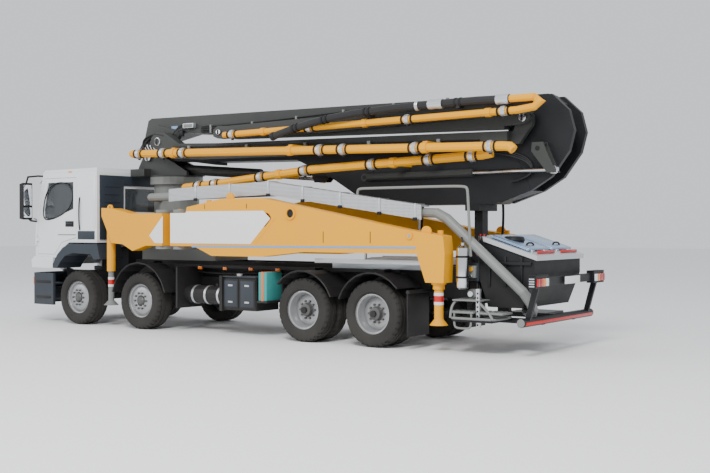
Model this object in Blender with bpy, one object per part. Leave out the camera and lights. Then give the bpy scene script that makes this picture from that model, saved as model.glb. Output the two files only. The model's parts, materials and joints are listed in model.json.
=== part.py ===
"""Concrete pump truck: an 8x4 chassis with a tilting cab, four swing-out outriggers and a five-section boom.

Metres, +X forward, +Y left, +Z up. Places along the truck are measured from the first axle, and every object is
then carried forward by ORIGIN_SHIFT, so that the origin is on the ground under the middle of the truck.
"""

import math

import bmesh
import bpy
from mathutils import Matrix, Vector

# ---------------------------------------------------------------- driving dimensions
GAP = 0.0003  # between pieces that touch
RUN = 0.0009  # radial clearance of a pin or spindle in its bore

# running gear
AXLES = (0.0, -1.70, -5.45, -6.80)
TYRE_R = 0.52
RIM_R = 0.30
FRONT_TYRE_W = 0.385
FRONT_TRACK_Y = 1.0275
TWIN_TYRE_W = 0.30
TWIN_GAP = 0.04
TWIN_TRACK_Y = 0.90
SPINDLE_R = 0.05
SPINDLE_END_Y = 1.17
KING_PIN_Y = 0.72
KING_PIN_R = 0.03
ROUND = 20
HUB_Z = TYRE_R * math.cos(math.pi / ROUND)

# chassis frame
RAIL_Y = 0.45
RAIL_W = 0.07
RAIL_Z = (0.76, 1.00)
FRAME_FRONT = 1.22
SUBFRAME_Z = 1.24
SUBFRAME_FRONT = -0.80

# cab
BUMPER_WALL = 0.05
CAB_Y = 1.15
CAB_WALL = 0.05
CAB_REAR = -0.50
CAB_FRONT = 1.30
CAB_ROOF = 2.90
CAB_FLOOR = 1.56
VISOR_Y = 1.08
TILT_X, TILT_Z = 1.33, 1.02
DOOR_GAP = 0.006
DOOR_HINGE_X = 1.255
DOOR_HINGE_OUT = 0.022

# outriggers
ARM_Y = (0.98, 1.24)
ARM_HINGE_Y = 1.10
FRONT_HINGE_X = -2.20
REAR_HINGE_X = -2.64
ARM_PIN_R = 0.06
FRONT_JACK_X = -0.84
REAR_JACK_X = -7.94
FRONT_JACK_R = 0.055
REAR_JACK_R = 0.070
JACK_FOOT_Z = 0.40
JACK_WALL = 0.025

# turret and boom
TURRET_X = -1.45
RING_Z = (2.68, 2.80)
RING_R = 0.50
COLUMN_R = 0.43
A_HALF_W = 0.26
A_ROOT_HALF_W = 0.17
B_HALF_W = 0.24
C_Y = (0.31, 0.50)
E_Y = (0.54, 0.71)
BOOM_PIN_R = 0.06
A_PIN = (-0.95, 3.20)
B_PIN = (-9.22, 3.45)
C_PIN = (-1.45, 3.46)
D_PIN = (-9.00, 3.45)
E_PIN = (-3.20, 3.53)
PIPE_R = 0.07
HOSE_R = 0.062
LIFT_FOOT = (-1.30, 2.98)
LIFT_EYE = (-4.95, 2.70)
LIFT_BARREL_R = 0.095
LIFT_ROD_R = 0.060
FOLD_FOOT = (-6.10, 2.66)
FOLD_EYE = (-9.42, 2.69)
FOLD_Y = 0.34
FOLD_BARREL_R = 0.06
FOLD_ROD_R = 0.035
ROCKER_PIN = (-9.20, 3.00)

# pump and hopper
HOPPER_Y = 0.80
HOPPER_FRONT = -8.45
HOPPER_REAR = -9.34
HOPPER_FLOOR = 0.68
LID_HINGE = (-8.49, 1.70)
DELIVERY_R = 0.075
DELIVERY_Y = 0.92
COVER_INNER_Y = DELIVERY_Y - 0.11

FRONT_MOST = 1.44
REAR_MOST = -9.70
ORIGIN_SHIFT = -(FRONT_MOST + REAR_MOST) / 2

# ---------------------------------------------------------------- materials
FINISHES = {
    "white_paint": ((0.80, 0.80, 0.78), 0.30, 0.0),
    "yellow_paint": ((0.90, 0.40, 0.005), 0.35, 0.0),
    "boom_grey": ((0.16, 0.165, 0.15), 0.45, 0.0),
    "dark_grey": ((0.045, 0.05, 0.055), 0.55, 0.0),
    "slate": ((0.09, 0.105, 0.125), 0.50, 0.0),
    "chassis_black": ((0.02, 0.02, 0.022), 0.60, 0.0),
    "light_grey": ((0.33, 0.34, 0.32), 0.45, 0.0),
    "aluminium": ((0.62, 0.63, 0.64), 0.35, 0.9),
    "rubber": ((0.03, 0.029, 0.028), 0.85, 0.0),
    "chrome": ((0.60, 0.60, 0.62), 0.20, 1.0),
    "fabric": ((0.05, 0.05, 0.055), 0.90, 0.0),
}


def finish_named(name):
    found = bpy.data.materials.get(name)
    if found:
        return found
    colour, roughness, metallic = FINISHES[name]
    made = bpy.data.materials.new(name)
    made.use_nodes = True
    shader = made.node_tree.nodes["Principled BSDF"]
    shader.inputs["Base Color"].default_value = (*colour, 1.0)
    shader.inputs["Roughness"].default_value = roughness
    shader.inputs["Metallic"].default_value = metallic
    return made


# ---------------------------------------------------------------- shapes
def solid(mesh_maker):
    """An object made from what mesh_maker adds to an empty bmesh, with its faces pointing out."""
    work = bmesh.new()
    mesh_maker(work)
    bmesh.ops.recalc_face_normals(work, faces=work.faces)
    mesh = bpy.data.meshes.new("shape")
    work.to_mesh(mesh)
    work.free()
    made = bpy.data.objects.new("shape", mesh)
    bpy.context.scene.collection.objects.link(made)
    return made


def prism(outline, low, high, along="y"):
    """An outline pushed from low to high along an axis. Its points are (x, z) along y, (x, y) along z, (y, z) along x."""
    place = {
        "y": lambda a, b, depth: (a, depth, b),
        "z": lambda a, b, depth: (a, b, depth),
        "x": lambda a, b, depth: (depth, a, b),
    }[along]

    def make(work):
        near = [work.verts.new(place(a, b, low)) for a, b in outline]
        far = [work.verts.new(place(a, b, high)) for a, b in outline]
        work.faces.new(near)
        work.faces.new(far[::-1])
        for i in range(len(outline)):
            j = (i + 1) % len(outline)
            work.faces.new((near[i], near[j], far[j], far[i]))

    return solid(make)


def slab(x, y, z):
    return prism([(x[0], z[0]), (x[1], z[0]), (x[1], z[1]), (x[0], z[1])], y[0], y[1])


def rod(start, end, radius, sides=12, end_radius=None):
    """A round bar between two points, or a cone if end_radius is given."""
    start, end = Vector(start), Vector(end)
    axis = end - start
    turn = axis.to_track_quat("Z", "Y").to_matrix().to_4x4()
    middle = Matrix.Translation((start + end) / 2)

    def make(work):
        bmesh.ops.create_cone(
            work,
            cap_ends=True,
            segments=sides,
            radius1=radius,
            radius2=radius if end_radius is None else end_radius,
            depth=axis.length,
            matrix=middle @ turn,
        )

    return solid(make)


def pin(x, z, y, radius, sides=24):
    """A round bar across the truck."""
    return rod((x, y[0], z), (x, y[1], z), radius, sides)


def post(x, y, z, radius, sides=20):
    """An upright round bar."""
    return rod((x, y, z[0]), (x, y, z[1]), radius, sides)


def pipe(route, radius, sides=10):
    """A round bar that follows a route, mitred at its corners."""
    route = [Vector(point) for point in route]

    def make(work):
        rings = []
        side = None
        for i, point in enumerate(route):
            before = (point - route[i - 1]).normalized() if i else None
            after = (route[i + 1] - point).normalized() if i + 1 < len(route) else None
            lead = before or after
            if side is None:
                side = lead.orthogonal().normalized()
            side = (side - lead * side.dot(lead)).normalized()
            other = lead.cross(side)
            normal = ((before or after) + (after or before)).normalized()
            ring = []
            for k in range(sides):
                angle = 2 * math.pi * k / sides
                spoke = (side * math.cos(angle) + other * math.sin(angle)) * radius
                spoke -= lead * (spoke.dot(normal) / lead.dot(normal))
                ring.append(work.verts.new(point + spoke))
            rings.append(ring)
        for low, high in zip(rings, rings[1:]):
            for k in range(sides):
                m = (k + 1) % sides
                work.faces.new((low[k], low[m], high[m], high[k]))
        work.faces.new(rings[0][::-1])
        work.faces.new(rings[-1])

    return solid(make)


def turned(profile, x, y, z, outward, sides=ROUND):
    """A closed profile of (radius, offset) turned about an axle line along Y. Offsets grow away from the truck."""

    def make(work):
        rings = []
        for radius, offset in profile:
            ring = []
            for k in range(sides):
                angle = 2 * math.pi * (k + 0.5) / sides
                place = (x + radius * math.cos(angle), y + outward * offset, z + radius * math.sin(angle))
                ring.append(work.verts.new(place))
            rings.append(ring)
        for i, low in enumerate(rings):
            high = rings[(i + 1) % len(rings)]
            for k in range(sides):
                m = (k + 1) % sides
                work.faces.new((low[k], low[m], high[m], high[k]))

    return solid(make)


def disc_outline(x, z, radius, sides=16):
    return [
        (x + radius * math.cos(2 * math.pi * k / sides), z + radius * math.sin(2 * math.pi * k / sides))
        for k in range(sides)
    ]


def combine(pieces, operation):
    """The first piece with each of the others joined to it or cut from it, as a new mesh."""
    first = pieces[0]
    for other in pieces[1:]:
        step = first.modifiers.new("combine", "BOOLEAN")
        step.operation = operation
        step.solver = "EXACT"
        step.object = other
    bpy.context.view_layer.update()
    graph = bpy.context.evaluated_depsgraph_get()
    mesh = bpy.data.meshes.new_from_object(first.evaluated_get(graph))
    for piece in pieces:
        bpy.data.objects.remove(piece)
    made = bpy.data.objects.new("shape", mesh)
    bpy.context.scene.collection.objects.link(made)
    return made


def node(name, finish, pieces, cuts=(), pivot=(0.0, 0.0, 0.0)):
    """One named object: its pieces joined, its cuts taken out, and its origin on the pivot."""
    made = combine(list(pieces), "UNION") if len(pieces) > 1 else pieces[0]
    if cuts:
        made = combine([made, *cuts], "DIFFERENCE")
    made.name = name
    made.data.name = name
    made.data.materials.clear()
    made.data.materials.append(finish_named(finish))
    made.data.transform(Matrix.Translation(-Vector(pivot)))
    made.data.shade_smooth()
    made.data.set_sharp_from_angle(angle=math.radians(30))
    made.location = Vector(pivot) + Vector((ORIGIN_SHIFT, 0, 0))
    return made


def mirrored(original, name):
    """The same piece on the other side of the truck."""
    mesh = original.data.copy()
    mesh.transform(Matrix.Diagonal((1, -1, 1, 1)))
    mesh.flip_normals()
    made = bpy.data.objects.new(name, mesh)
    made.location = original.location * Vector((1, -1, 1))
    bpy.context.scene.collection.objects.link(made)
    return made


def pair(name, *rest, **named):
    left = node(name + "_left", *rest, **named)
    mirrored(left, name + "_right")


# ---------------------------------------------------------------- running gear
def front_wheel_profile():
    half = FRONT_TYRE_W / 2
    bore = SPINDLE_R + RUN
    return [
        (RIM_R, half - 0.02), (TYRE_R - 0.10, half), (TYRE_R - 0.035, half - 0.01), (TYRE_R, half - 0.075),
        (TYRE_R, 0.075 - half), (TYRE_R - 0.035, 0.01 - half), (TYRE_R - 0.10, -half), (RIM_R, 0.02 - half),
        (RIM_R - 0.05, 0.03 - half), (RIM_R - 0.05, half - 0.10), (0.13, half - 0.07), (0.12, -0.06),
        (bore, -0.06), (bore, half - 0.02), (0.13, half - 0.025), (RIM_R - 0.065, half - 0.07),
        (RIM_R - 0.03, half - 0.03),
    ]


def twin_wheel_profile():
    outer = TWIN_TYRE_W + TWIN_GAP / 2
    inner = TWIN_GAP / 2
    bore = SPINDLE_R + RUN
    tread, wall = 0.05, TYRE_R - 0.035
    return [
        (RIM_R, outer - 0.01), (TYRE_R - 0.10, outer), (wall, outer - 0.01), (TYRE_R, outer - tread),
        (TYRE_R, inner + tread), (wall, inner + 0.01), (RIM_R + 0.07, inner), (RIM_R + 0.07, -inner),
        (wall, -inner - 0.01), (TYRE_R, -inner - tread), (TYRE_R, tread - outer), (wall, 0.01 - outer),
        (TYRE_R - 0.10, -outer), (RIM_R, 0.01 - outer), (RIM_R - 0.05, 0.03 - outer), (RIM_R - 0.05, 0.0),
        (0.15, 0.0), (0.14, 0.04 - outer), (bore, 0.04 - outer), (bore, SPINDLE_END_Y - TWIN_TRACK_Y),
        (0.12, outer - 0.07), (0.15, outer - 0.13), (0.16, 0.05), (RIM_R - 0.055, 0.05),
        (RIM_R - 0.035, outer - 0.02),
    ]


def running_gear():
    hub = HUB_Z
    for number, x in enumerate(AXLES, 1):
        front = number <= 2
        profile = front_wheel_profile() if front else twin_wheel_profile()
        y = FRONT_TRACK_Y if front else TWIN_TRACK_Y
        kind = "wheel" if front else "twin_wheel"
        pair(f"{kind}_{number}", "rubber", [turned(profile, x, y, hub, 1)], pivot=(x, y, hub))
        if front:
            knuckle(number, x, hub)
            front_axle(number, x, hub)
    rear_bogie(hub)


def knuckle(number, x, hub):
    """A C-shaped steering knuckle: arms above and below the axle's eye, a king pin through it, and the spindle."""
    eye, arm = 0.09, 0.04
    pieces = [
        slab((x - 0.055, x + 0.055), (KING_PIN_Y + 0.082, KING_PIN_Y + 0.125), (hub - eye - arm, hub + eye + arm)),
        slab((x - 0.05, x + 0.05), (KING_PIN_Y - 0.05, KING_PIN_Y + 0.10), (hub + eye + GAP, hub + eye + arm)),
        slab((x - 0.05, x + 0.05), (KING_PIN_Y - 0.05, KING_PIN_Y + 0.10), (hub - eye - arm, hub - eye - GAP)),
        post(x, KING_PIN_Y, (hub - eye - arm / 2, hub + eye + arm / 2), KING_PIN_R),
        spindle(x, hub, KING_PIN_Y + 0.10),
    ]
    pair(f"knuckle_{number}", "chassis_black", pieces, pivot=(x, KING_PIN_Y, hub))


def spindle(x, hub, start_y):
    """A round spindle whose flats line up with those of the wheel's bore."""
    end = SPINDLE_END_Y
    def make(work):
        rings = []
        for k in range(ROUND):
            angle = 2 * math.pi * (k + 0.5) / ROUND
            c, s = math.cos(angle), math.sin(angle)
            rings.append([work.verts.new((x + SPINDLE_R * c, y, hub + SPINDLE_R * s)) for y in (start_y, end)])
        work.faces.new([ring[0] for ring in rings])
        work.faces.new([ring[1] for ring in rings][::-1])
        for k in range(ROUND):
            a, b = rings[k], rings[(k + 1) % ROUND]
            work.faces.new((a[0], b[0], b[1], a[1]))

    return solid(make)


def leaf_spring(x, hub, reach):
    """A leaf spring under each rail, its eyes against the rail's underside."""
    top = RAIL_Z[0] - GAP
    low = hub + 0.07
    outline = [
        (x - reach, top), (x - reach, top - 0.06), (x - 0.3, low), (x + 0.3, low), (x + reach, top - 0.06),
        (x + reach, top), (x + reach - 0.08, top), (x + 0.25, low + 0.07), (x - 0.25, low + 0.07),
        (x - reach + 0.08, top),
    ]
    return outline


def front_axle(number, x, hub):
    eye = 0.09
    spring_y = (RAIL_Y - RAIL_W + 0.002, RAIL_Y - 0.002)
    pieces = [slab((x - 0.05, x + 0.05), (-KING_PIN_Y + 0.02, KING_PIN_Y - 0.02), (hub - 0.07, hub + 0.03))]
    for side in (1, -1):
        low, high = sorted((side * spring_y[0], side * spring_y[1]))
        pieces.append(post(x, side * KING_PIN_Y, (hub - eye, hub + eye), 0.065))
        pieces.append(prism(leaf_spring(x, hub, 0.62), low, high))
        pieces.append(slab((x - 0.045, x + 0.045), (low + 0.01, high - 0.01), (hub, hub + 0.10)))
    cuts = [post(x, side * KING_PIN_Y, (hub - 0.2, hub + 0.2), KING_PIN_R + RUN) for side in (1, -1)]
    node(f"front_axle_{number}", "chassis_black", pieces, cuts)


def rear_bogie(hub):
    front, rear = AXLES[2], AXLES[3]
    middle = (front + rear) / 2
    pieces = []
    spring_y = (RAIL_Y - RAIL_W + 0.002, RAIL_Y + 0.06)
    for x in (front, rear):
        pieces.append(pin(x, hub, (-0.56, 0.56), 0.075, 12))
        pieces.append(rod((x - 0.16, 0, hub + 0.02), (x + 0.16, 0, hub + 0.02), 0.19, 12))
        for side in (1, -1):
            axle_end = spindle(x, hub, 0.50)
            if side < 0:
                axle_end.data.transform(Matrix.Diagonal((1, -1, 1, 1)))
                axle_end.data.flip_normals()
            pieces.append(axle_end)
    pieces.append(rod((front, 0, hub), (rear, 0, hub), 0.045, 10))
    for side in (1, -1):
        low, high = sorted((side * spring_y[0], side * spring_y[1]))
        top = RAIL_Z[0] - GAP
        outline = [
            (front + 0.12, hub + 0.02), (front + 0.12, hub + 0.10), (middle + 0.2, top), (middle - 0.2, top),
            (rear - 0.12, hub + 0.10), (rear - 0.12, hub + 0.02), (middle - 0.25, hub + 0.10),
            (middle + 0.25, hub + 0.10),
        ]
        pieces.append(prism(outline, low, high))
    node("rear_bogie", "chassis_black", pieces)


# ---------------------------------------------------------------- chassis frame
def chassis_frame():
    pieces = []
    inner = RAIL_Y - RAIL_W
    frame_rear = HOPPER_FRONT + GAP
    for side in (1, -1):
        low, high = sorted((side * inner, side * RAIL_Y))
        pieces.append(slab((frame_rear, FRAME_FRONT), (low, high), RAIL_Z))
        pieces.append(slab((frame_rear, SUBFRAME_FRONT), (low + 0.005, high - 0.005), (RAIL_Z[1] - 0.02, SUBFRAME_Z)))
        tilt_post = [
            (FRAME_FRONT - 0.12, RAIL_Z[1] - 0.05), (TILT_X + 0.03, TILT_Z - 0.05), (TILT_X + 0.03, TILT_Z + 0.02),
            (TILT_X - 0.03, TILT_Z + 0.03), (FRAME_FRONT - 0.12, RAIL_Z[1] + 0.01),
        ]
        pieces.append(prism(tilt_post, low, high))
        bumper_arm = (FRAME_FRONT - 0.10, FRONT_MOST - BUMPER_WALL - GAP)
        pieces.append(slab(bumper_arm, (low + 0.01, high - 0.01), (0.74, 0.84)))
    span = (-inner - 0.02, inner + 0.02)
    for x in (1.00, -0.72, -2.9, -3.9, -4.7, -6.12, -7.6, -8.35):
        pieces.append(slab((x - 0.05, x + 0.05), span, (RAIL_Z[0] + 0.03, RAIL_Z[1] - 0.03)))
    for x in (-0.9, -3.3, -4.7, -6.12, -7.4, -8.35):
        pieces.append(slab((x - 0.06, x + 0.06), span, (RAIL_Z[1] + 0.02, SUBFRAME_Z - 0.02)))
    rest_x = -8.05
    pieces.append(slab((rest_x - 0.10, rest_x + 0.10), span, (RAIL_Z[1] + 0.03, SUBFRAME_Z - 0.01)))
    pieces.append(slab((rest_x - 0.07, rest_x + 0.07), (-0.09, 0.09), (SUBFRAME_Z - 0.10, 2.12)))
    pieces.append(slab((rest_x - 0.12, rest_x + 0.12), (-0.30, 0.30), (2.10, 2.20 - GAP)))
    node("chassis_frame", "chassis_black", pieces)
    engine = slab((-0.50, 0.26), (-inner + 0.02, inner - 0.02), (0.66, 1.46))
    mounts = slab((-0.20, 0.0), (-inner + GAP, inner - GAP), (0.80, 0.90))
    node("engine_block", "dark_grey", [engine, mounts])


# ---------------------------------------------------------------- cab
def cab_outline(wall=0.0):
    """The cab's side outline, drawn in by a wall's thickness."""
    rise = CAB_ROOF - wall
    front = CAB_FRONT - wall
    return [
        (CAB_REAR + wall, CAB_FLOOR + wall), (CAB_REAR + wall, rise), (CAB_FRONT - 0.24 - wall, rise),
        (CAB_FRONT - 0.07 - wall, 2.22), (front, 1.92), (front, 1.26 + wall), (0.66 + wall, 1.26 + wall),
        (0.52 + wall, 1.42 + wall), (0.30 + wall, CAB_FLOOR + wall),
    ]


def door_outline(grow):
    """The door's outline, grown by a clearance to give its opening."""
    return [
        (0.09 - grow, 2.80 + grow), (CAB_FRONT - 0.30 + grow, 2.80 + grow), (CAB_FRONT - 0.13 + grow, 2.20),
        (CAB_FRONT - 0.07 + grow, 1.93), (CAB_FRONT - 0.07 + grow, 1.33 - grow), (0.72 - grow, 1.33 - grow),
        (0.52 - grow, 1.56 - grow), (0.09 - grow, 1.66 - grow),
    ]


WINDOW = [(0.17, 2.72), (0.92, 2.72), (1.05, 2.20), (1.04, 2.04), (0.90, 1.99), (0.17, 2.20)]


def cab():
    inside = CAB_Y - CAB_WALL
    shell = [prism(cab_outline(), -CAB_Y, CAB_Y)]
    visor = [(1.06, 2.90), (1.28, 2.72), (1.29, 2.77), (1.10, 2.97), (-0.42, 2.98), (-0.42, 2.88), (1.0, 2.88)]
    shell.append(prism(visor, -VISOR_Y, VISOR_Y))
    grille = [(CAB_FRONT - 0.01, 1.10), (1.36, 1.12), (1.36, 1.80), (CAB_FRONT - 0.01, 1.86)]
    shell.append(prism(grille, -0.92, 0.92))
    skirt = [(0.74, 1.27), (0.74, 1.06), (1.38, 1.06), (1.395, 1.20), (1.31, 1.28)]
    shell.append(prism(skirt, 0.50, 1.18))
    shell.append(prism(skirt, -1.18, -0.50))
    cuts = [prism(cab_outline(CAB_WALL), -inside, inside)]
    cuts.append(prism(door_outline(DOOR_GAP), inside - 0.02, CAB_Y + 0.1))
    cuts.append(prism(door_outline(DOOR_GAP), -CAB_Y - 0.1, 0.02 - inside))
    cuts.append(slab((CAB_FRONT - 0.40, CAB_FRONT + 0.2), (-1.02, 1.02), (1.97, 2.71)))
    cuts.append(slab((CAB_REAR - 0.1, CAB_REAR + 0.1), (-0.45, 0.45), (2.15, 2.60)))
    shell_node = combine(shell, "UNION")
    shell_node = combine([shell_node, *cuts], "DIFFERENCE")
    extras = [shell_node]
    for side in (1, -1):
        lug_y = sorted((side * (RAIL_Y + 0.0005), side * (RAIL_Y + 0.06)))
        lug = [
            (TILT_X - 0.22, 1.30), (TILT_X - 0.10, TILT_Z - 0.02), (TILT_X + 0.02, TILT_Z - 0.03),
            (TILT_X + 0.03, TILT_Z + 0.03), (TILT_X - 0.03, 1.30),
        ]
        extras.append(prism(lug, *lug_y))
        hinge_y = side * (CAB_Y + DOOR_HINGE_OUT)
        for z in ((1.50, 1.58), (1.6505, 1.72)):
            extras.append(post(DOOR_HINGE_X, hinge_y, z, 0.016, 12))
            edge = sorted((side * (CAB_Y - 0.02), hinge_y))
            extras.append(slab((DOOR_HINGE_X - 0.008, DOOR_HINGE_X + 0.03), edge, z))
    node("cab_shell", "white_paint", extras)
    door = [prism(door_outline(0), inside, CAB_Y)]
    door_hinge_y = CAB_Y + DOOR_HINGE_OUT
    door_hinge = (DOOR_HINGE_X, door_hinge_y, 1.6)
    door.append(post(DOOR_HINGE_X, door_hinge_y, (1.5805, 1.65), 0.016, 12))
    edge = CAB_FRONT - 0.07
    leaf = [
        (edge - 0.05, CAB_Y - 0.01), (edge - 0.002, CAB_Y - 0.01), (edge - 0.002, CAB_Y + 0.006),
        (DOOR_HINGE_X + 0.004, CAB_Y + 0.006), (DOOR_HINGE_X + 0.004, door_hinge_y + 0.006),
        (edge - 0.05, door_hinge_y + 0.006),
    ]
    door.append(prism(leaf, 1.5805, 1.65, "z"))
    pair("door", "white_paint", door, [prism(WINDOW, inside - 0.1, CAB_Y + 0.1)], pivot=door_hinge)
    cab_interior(inside)
    cab_arch()
    mirror()


def cab_interior(inside):
    floor = CAB_FLOOR + CAB_WALL + GAP
    pieces = [slab((-0.42, 0.90), (-inside + 0.05, inside - 0.05), (floor, floor + 0.03))]
    for side in (1, -1):
        y = side * 0.62
        pieces.append(slab((-0.25, 0.27), (y - 0.25, y + 0.25), (floor + 0.01, floor + 0.34)))
        back = [(-0.40, floor + 0.28), (-0.22, floor + 0.28), (-0.28, floor + 0.95), (-0.40, floor + 0.95)]
        pieces.append(prism(back, y - 0.24, y + 0.24))
    dash = [(0.80, floor + 0.01), (0.80, 2.00), (0.98, 2.06), (1.18, 1.94), (1.18, floor + 0.03)]
    pieces.append(prism(dash, -inside + 0.05, inside - 0.05))
    column = ((0.86, 0.62, 1.88), (0.60, 0.62, 2.08))
    pieces.append(rod(*column, 0.035, 10))
    pieces.append(rod((0.60, 0.62, 2.08), (0.585, 0.62, 2.093), 0.23, 20))
    node("cab_interior", "fabric", pieces)


def cab_arch():
    """The dark arch over the first wheel, which tilts with the cab, with its inner liner."""
    outer = [
        (0.70, 1.14), (0.56, 1.33), (0.40, 1.46), (0.20, 1.535), (-0.58, 1.535), (-0.66, 1.26), (-0.50, 1.24),
        (-0.40, 1.34), (0.12, 1.36), (0.34, 1.30), (0.49, 1.17), (0.57, 1.06), (0.70, 1.06),
    ]
    seat = slab((-0.45, -0.05), (0.70, 1.10), (1.50, CAB_FLOOR - GAP))
    pair("wheel_arch", "slate", [prism(outer, 0.64, 1.22), seat])


def mirror():
    head = [(1.235, 2.00), (1.345, 2.02), (1.345, 2.70), (1.235, 2.72)]
    pieces = [prism(head, 1.28, 1.50)]
    upper = [(1.29, 1.40, 2.66), (1.29, 1.34, 2.84), (1.16, 1.20, 2.86), (1.16, VISOR_Y + GAP, 2.86)]
    lower = [(1.29, 1.38, 2.06), (1.31, 1.26, 1.98), (1.265, 1.19, 1.97), (1.265, CAB_Y + GAP, 1.97)]
    pieces.append(pipe(upper, 0.018, 8))
    pieces.append(pipe(lower, 0.018, 8))
    pair("mirror", "chassis_black", pieces)


def bumper():
    top, low, reach = 0.96, 0.34, FRONT_MOST
    outline = [(0.72, 1.19), (1.30, 1.19), (reach - 0.02, 1.02), (reach, 0.6), (reach, -0.6), (reach - 0.02, -1.02)]
    outline += [(1.30, -1.19), (0.72, -1.19)]
    inner = [(x - BUMPER_WALL if x > 1 else x - 0.2, y * 0.955) for x, y in outline]
    body = prism(outline, low, top, "z")
    hollow = prism(inner, low - 0.1, top + 0.1, "z")
    cut = combine([body, hollow], "DIFFERENCE")
    pieces = [cut]
    for side in (1, -1):
        y = sorted((side * 0.90, side * 1.16))
        for z in (0.44, 0.74):
            pieces.append(slab((0.76, 1.25), y, (z, z + 0.03)))
    pieces.append(slab((1.10, reach - 0.03), (-1.08, 1.08), (0.62, 0.66)))
    node("front_bumper", "slate", pieces)


# ---------------------------------------------------------------- pedestal and outriggers
FRONT_ARM = [
    (-2.32, 1.52), (-2.32, 2.10), (-1.50, 2.10), (-1.0, 2.20), (-0.73, 2.21), (-0.73, 2.06), (-1.0, 1.56),
    (-1.30, 1.54), (-1.56, 1.42), (-1.90, 1.52),
]
REAR_ARM = [
    (-2.52, 1.52), (-2.52, 2.10), (-2.90, 2.10), (-2.93, 2.20), (-3.72, 2.33), (-4.63, 2.33), (-7.39, 1.82),
    (-8.09, 1.72), (-8.12, 1.45), (-8.10, 1.03), (-7.79, 1.03), (-7.64, 1.45), (-5.49, 1.45), (-4.61, 1.36),
    (-3.51, 1.36), (-3.1, 1.52),
]


def pedestal():
    box_y = ARM_Y[0] - 0.12
    pieces = [slab((-2.86, -0.98), (-RAIL_Y, RAIL_Y), (SUBFRAME_Z + GAP, 1.60))]
    pieces.append(slab((-2.84, -1.06), (-box_y, box_y), (1.50, 2.06)))
    pieces.append(post(TURRET_X, 0, (2.0, RING_Z[0] + 0.01), COLUMN_R, 20))
    pieces.append(post(TURRET_X, 0, (RING_Z[0] - 0.02, RING_Z[1] - GAP), RING_R, 24))
    for x in (FRONT_HINGE_X, REAR_HINGE_X):
        for side in (1, -1):
            hinge_y = side * ARM_HINGE_Y
            for z in ((2.105, 2.16), (1.46, 1.515)):
                pieces.append(post(x, hinge_y, z, 0.13, 16))
                plate_y = sorted((side * (box_y - 0.10), hinge_y))
                pieces.append(slab((x - 0.13, x + 0.13), plate_y, z))
                web_z = (2.0, z[1]) if z[0] > 2 else (z[0], 1.60)
                web_y = sorted((side * (box_y - 0.20), side * (box_y - 0.01)))
                pieces.append(slab((x - 0.12, x + 0.12), web_y, web_z))
            pieces.append(post(x, hinge_y, (1.47, 2.15), ARM_PIN_R))
    node("pedestal", "light_grey", pieces)


def arm_eye(x):
    return post(x, ARM_HINGE_Y, (1.0, 2.6), ARM_PIN_R + RUN)


def outriggers():
    front = [prism(FRONT_ARM, *ARM_Y)]
    eye = disc_outline(-0.95, 2.20, 0.07)
    front.append(prism(eye, 1.205, 1.235))
    column = post(FRONT_JACK_X, ARM_HINGE_Y, (1.03, 1.95), FRONT_JACK_R + JACK_WALL, 16)
    tunnel = post(FRONT_JACK_X, ARM_HINGE_Y, (0.9, 1.90), FRONT_JACK_R + RUN, 16)
    cuts = [tunnel, arm_eye(FRONT_HINGE_X), prism(disc_outline(-0.95, 2.22, 0.025, 8), 1.1, 1.3)]
    pair("front_arm", "yellow_paint", front + [column], cuts, pivot=(FRONT_HINGE_X, ARM_HINGE_Y, 1.8))
    rear = [prism(REAR_ARM, *ARM_Y)]
    for x, z in ((-3.9, 2.33), (-7.78, 1.76)):
        rear.append(prism(disc_outline(x, z + 0.02, 0.085), 1.17, 1.20))
    rear_tunnel = post(REAR_JACK_X, ARM_HINGE_Y, (0.9, 1.60), REAR_JACK_R + RUN, 16)
    hole = prism(disc_outline(-4.72, 1.97, 0.12, 12), 1.15, 1.3)
    cuts = [rear_tunnel, arm_eye(REAR_HINGE_X), hole]
    pair("rear_arm", "yellow_paint", rear, cuts, pivot=(REAR_HINGE_X, ARM_HINGE_Y, 1.8))
    for name, x, radius, top in (("front_jack", FRONT_JACK_X, FRONT_JACK_R, 1.85),
                                 ("rear_jack", REAR_JACK_X, REAR_JACK_R, 1.55)):
        leg = [post(x, ARM_HINGE_Y, (JACK_FOOT_Z + 0.02, top), radius, 16)]
        foot = rod((x, ARM_HINGE_Y, JACK_FOOT_Z), (x, ARM_HINGE_Y, JACK_FOOT_Z + 0.09), 0.14, 16, radius)
        leg.append(foot)
        finish = "light_grey" if name == "front_jack" else "yellow_paint"
        pair(name, finish, leg, pivot=(x, ARM_HINGE_Y, JACK_FOOT_Z))


# ---------------------------------------------------------------- turret and boom
def turret():
    base = RING_Z[1]
    pieces = [post(TURRET_X, 0, (base, base + 0.03), RING_R, 24)]
    cheek = [
        (-0.66, base + 0.02), (-0.66, 3.00), (A_PIN[0] + 0.13, 3.26), (A_PIN[0], 3.34), (A_PIN[0] - 0.14, 3.30),
        (-1.62, 3.07), (-1.95, 2.90), (-1.95, base + 0.02),
    ]
    inner, outer = A_ROOT_HALF_W + 0.012, A_ROOT_HALF_W + 0.075
    pieces.append(prism(cheek, inner, outer))
    pieces.append(prism(cheek, -outer, -inner))
    pieces.append(slab((-0.72, -0.64), (-outer, outer), (base + 0.02, 2.98)))
    pieces.append(slab((-1.0, -0.62), (-0.42, 0.42), (2.83, 2.97)))
    pieces.append(pin(A_PIN[0], A_PIN[1], (-outer + 0.01, outer - 0.01), BOOM_PIN_R))
    pieces.append(pin(LIFT_FOOT[0], LIFT_FOOT[1], (-outer + 0.01, outer - 0.01), 0.04))
    node("turret", "boom_grey", pieces, pivot=(TURRET_X, 0, base))


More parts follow.
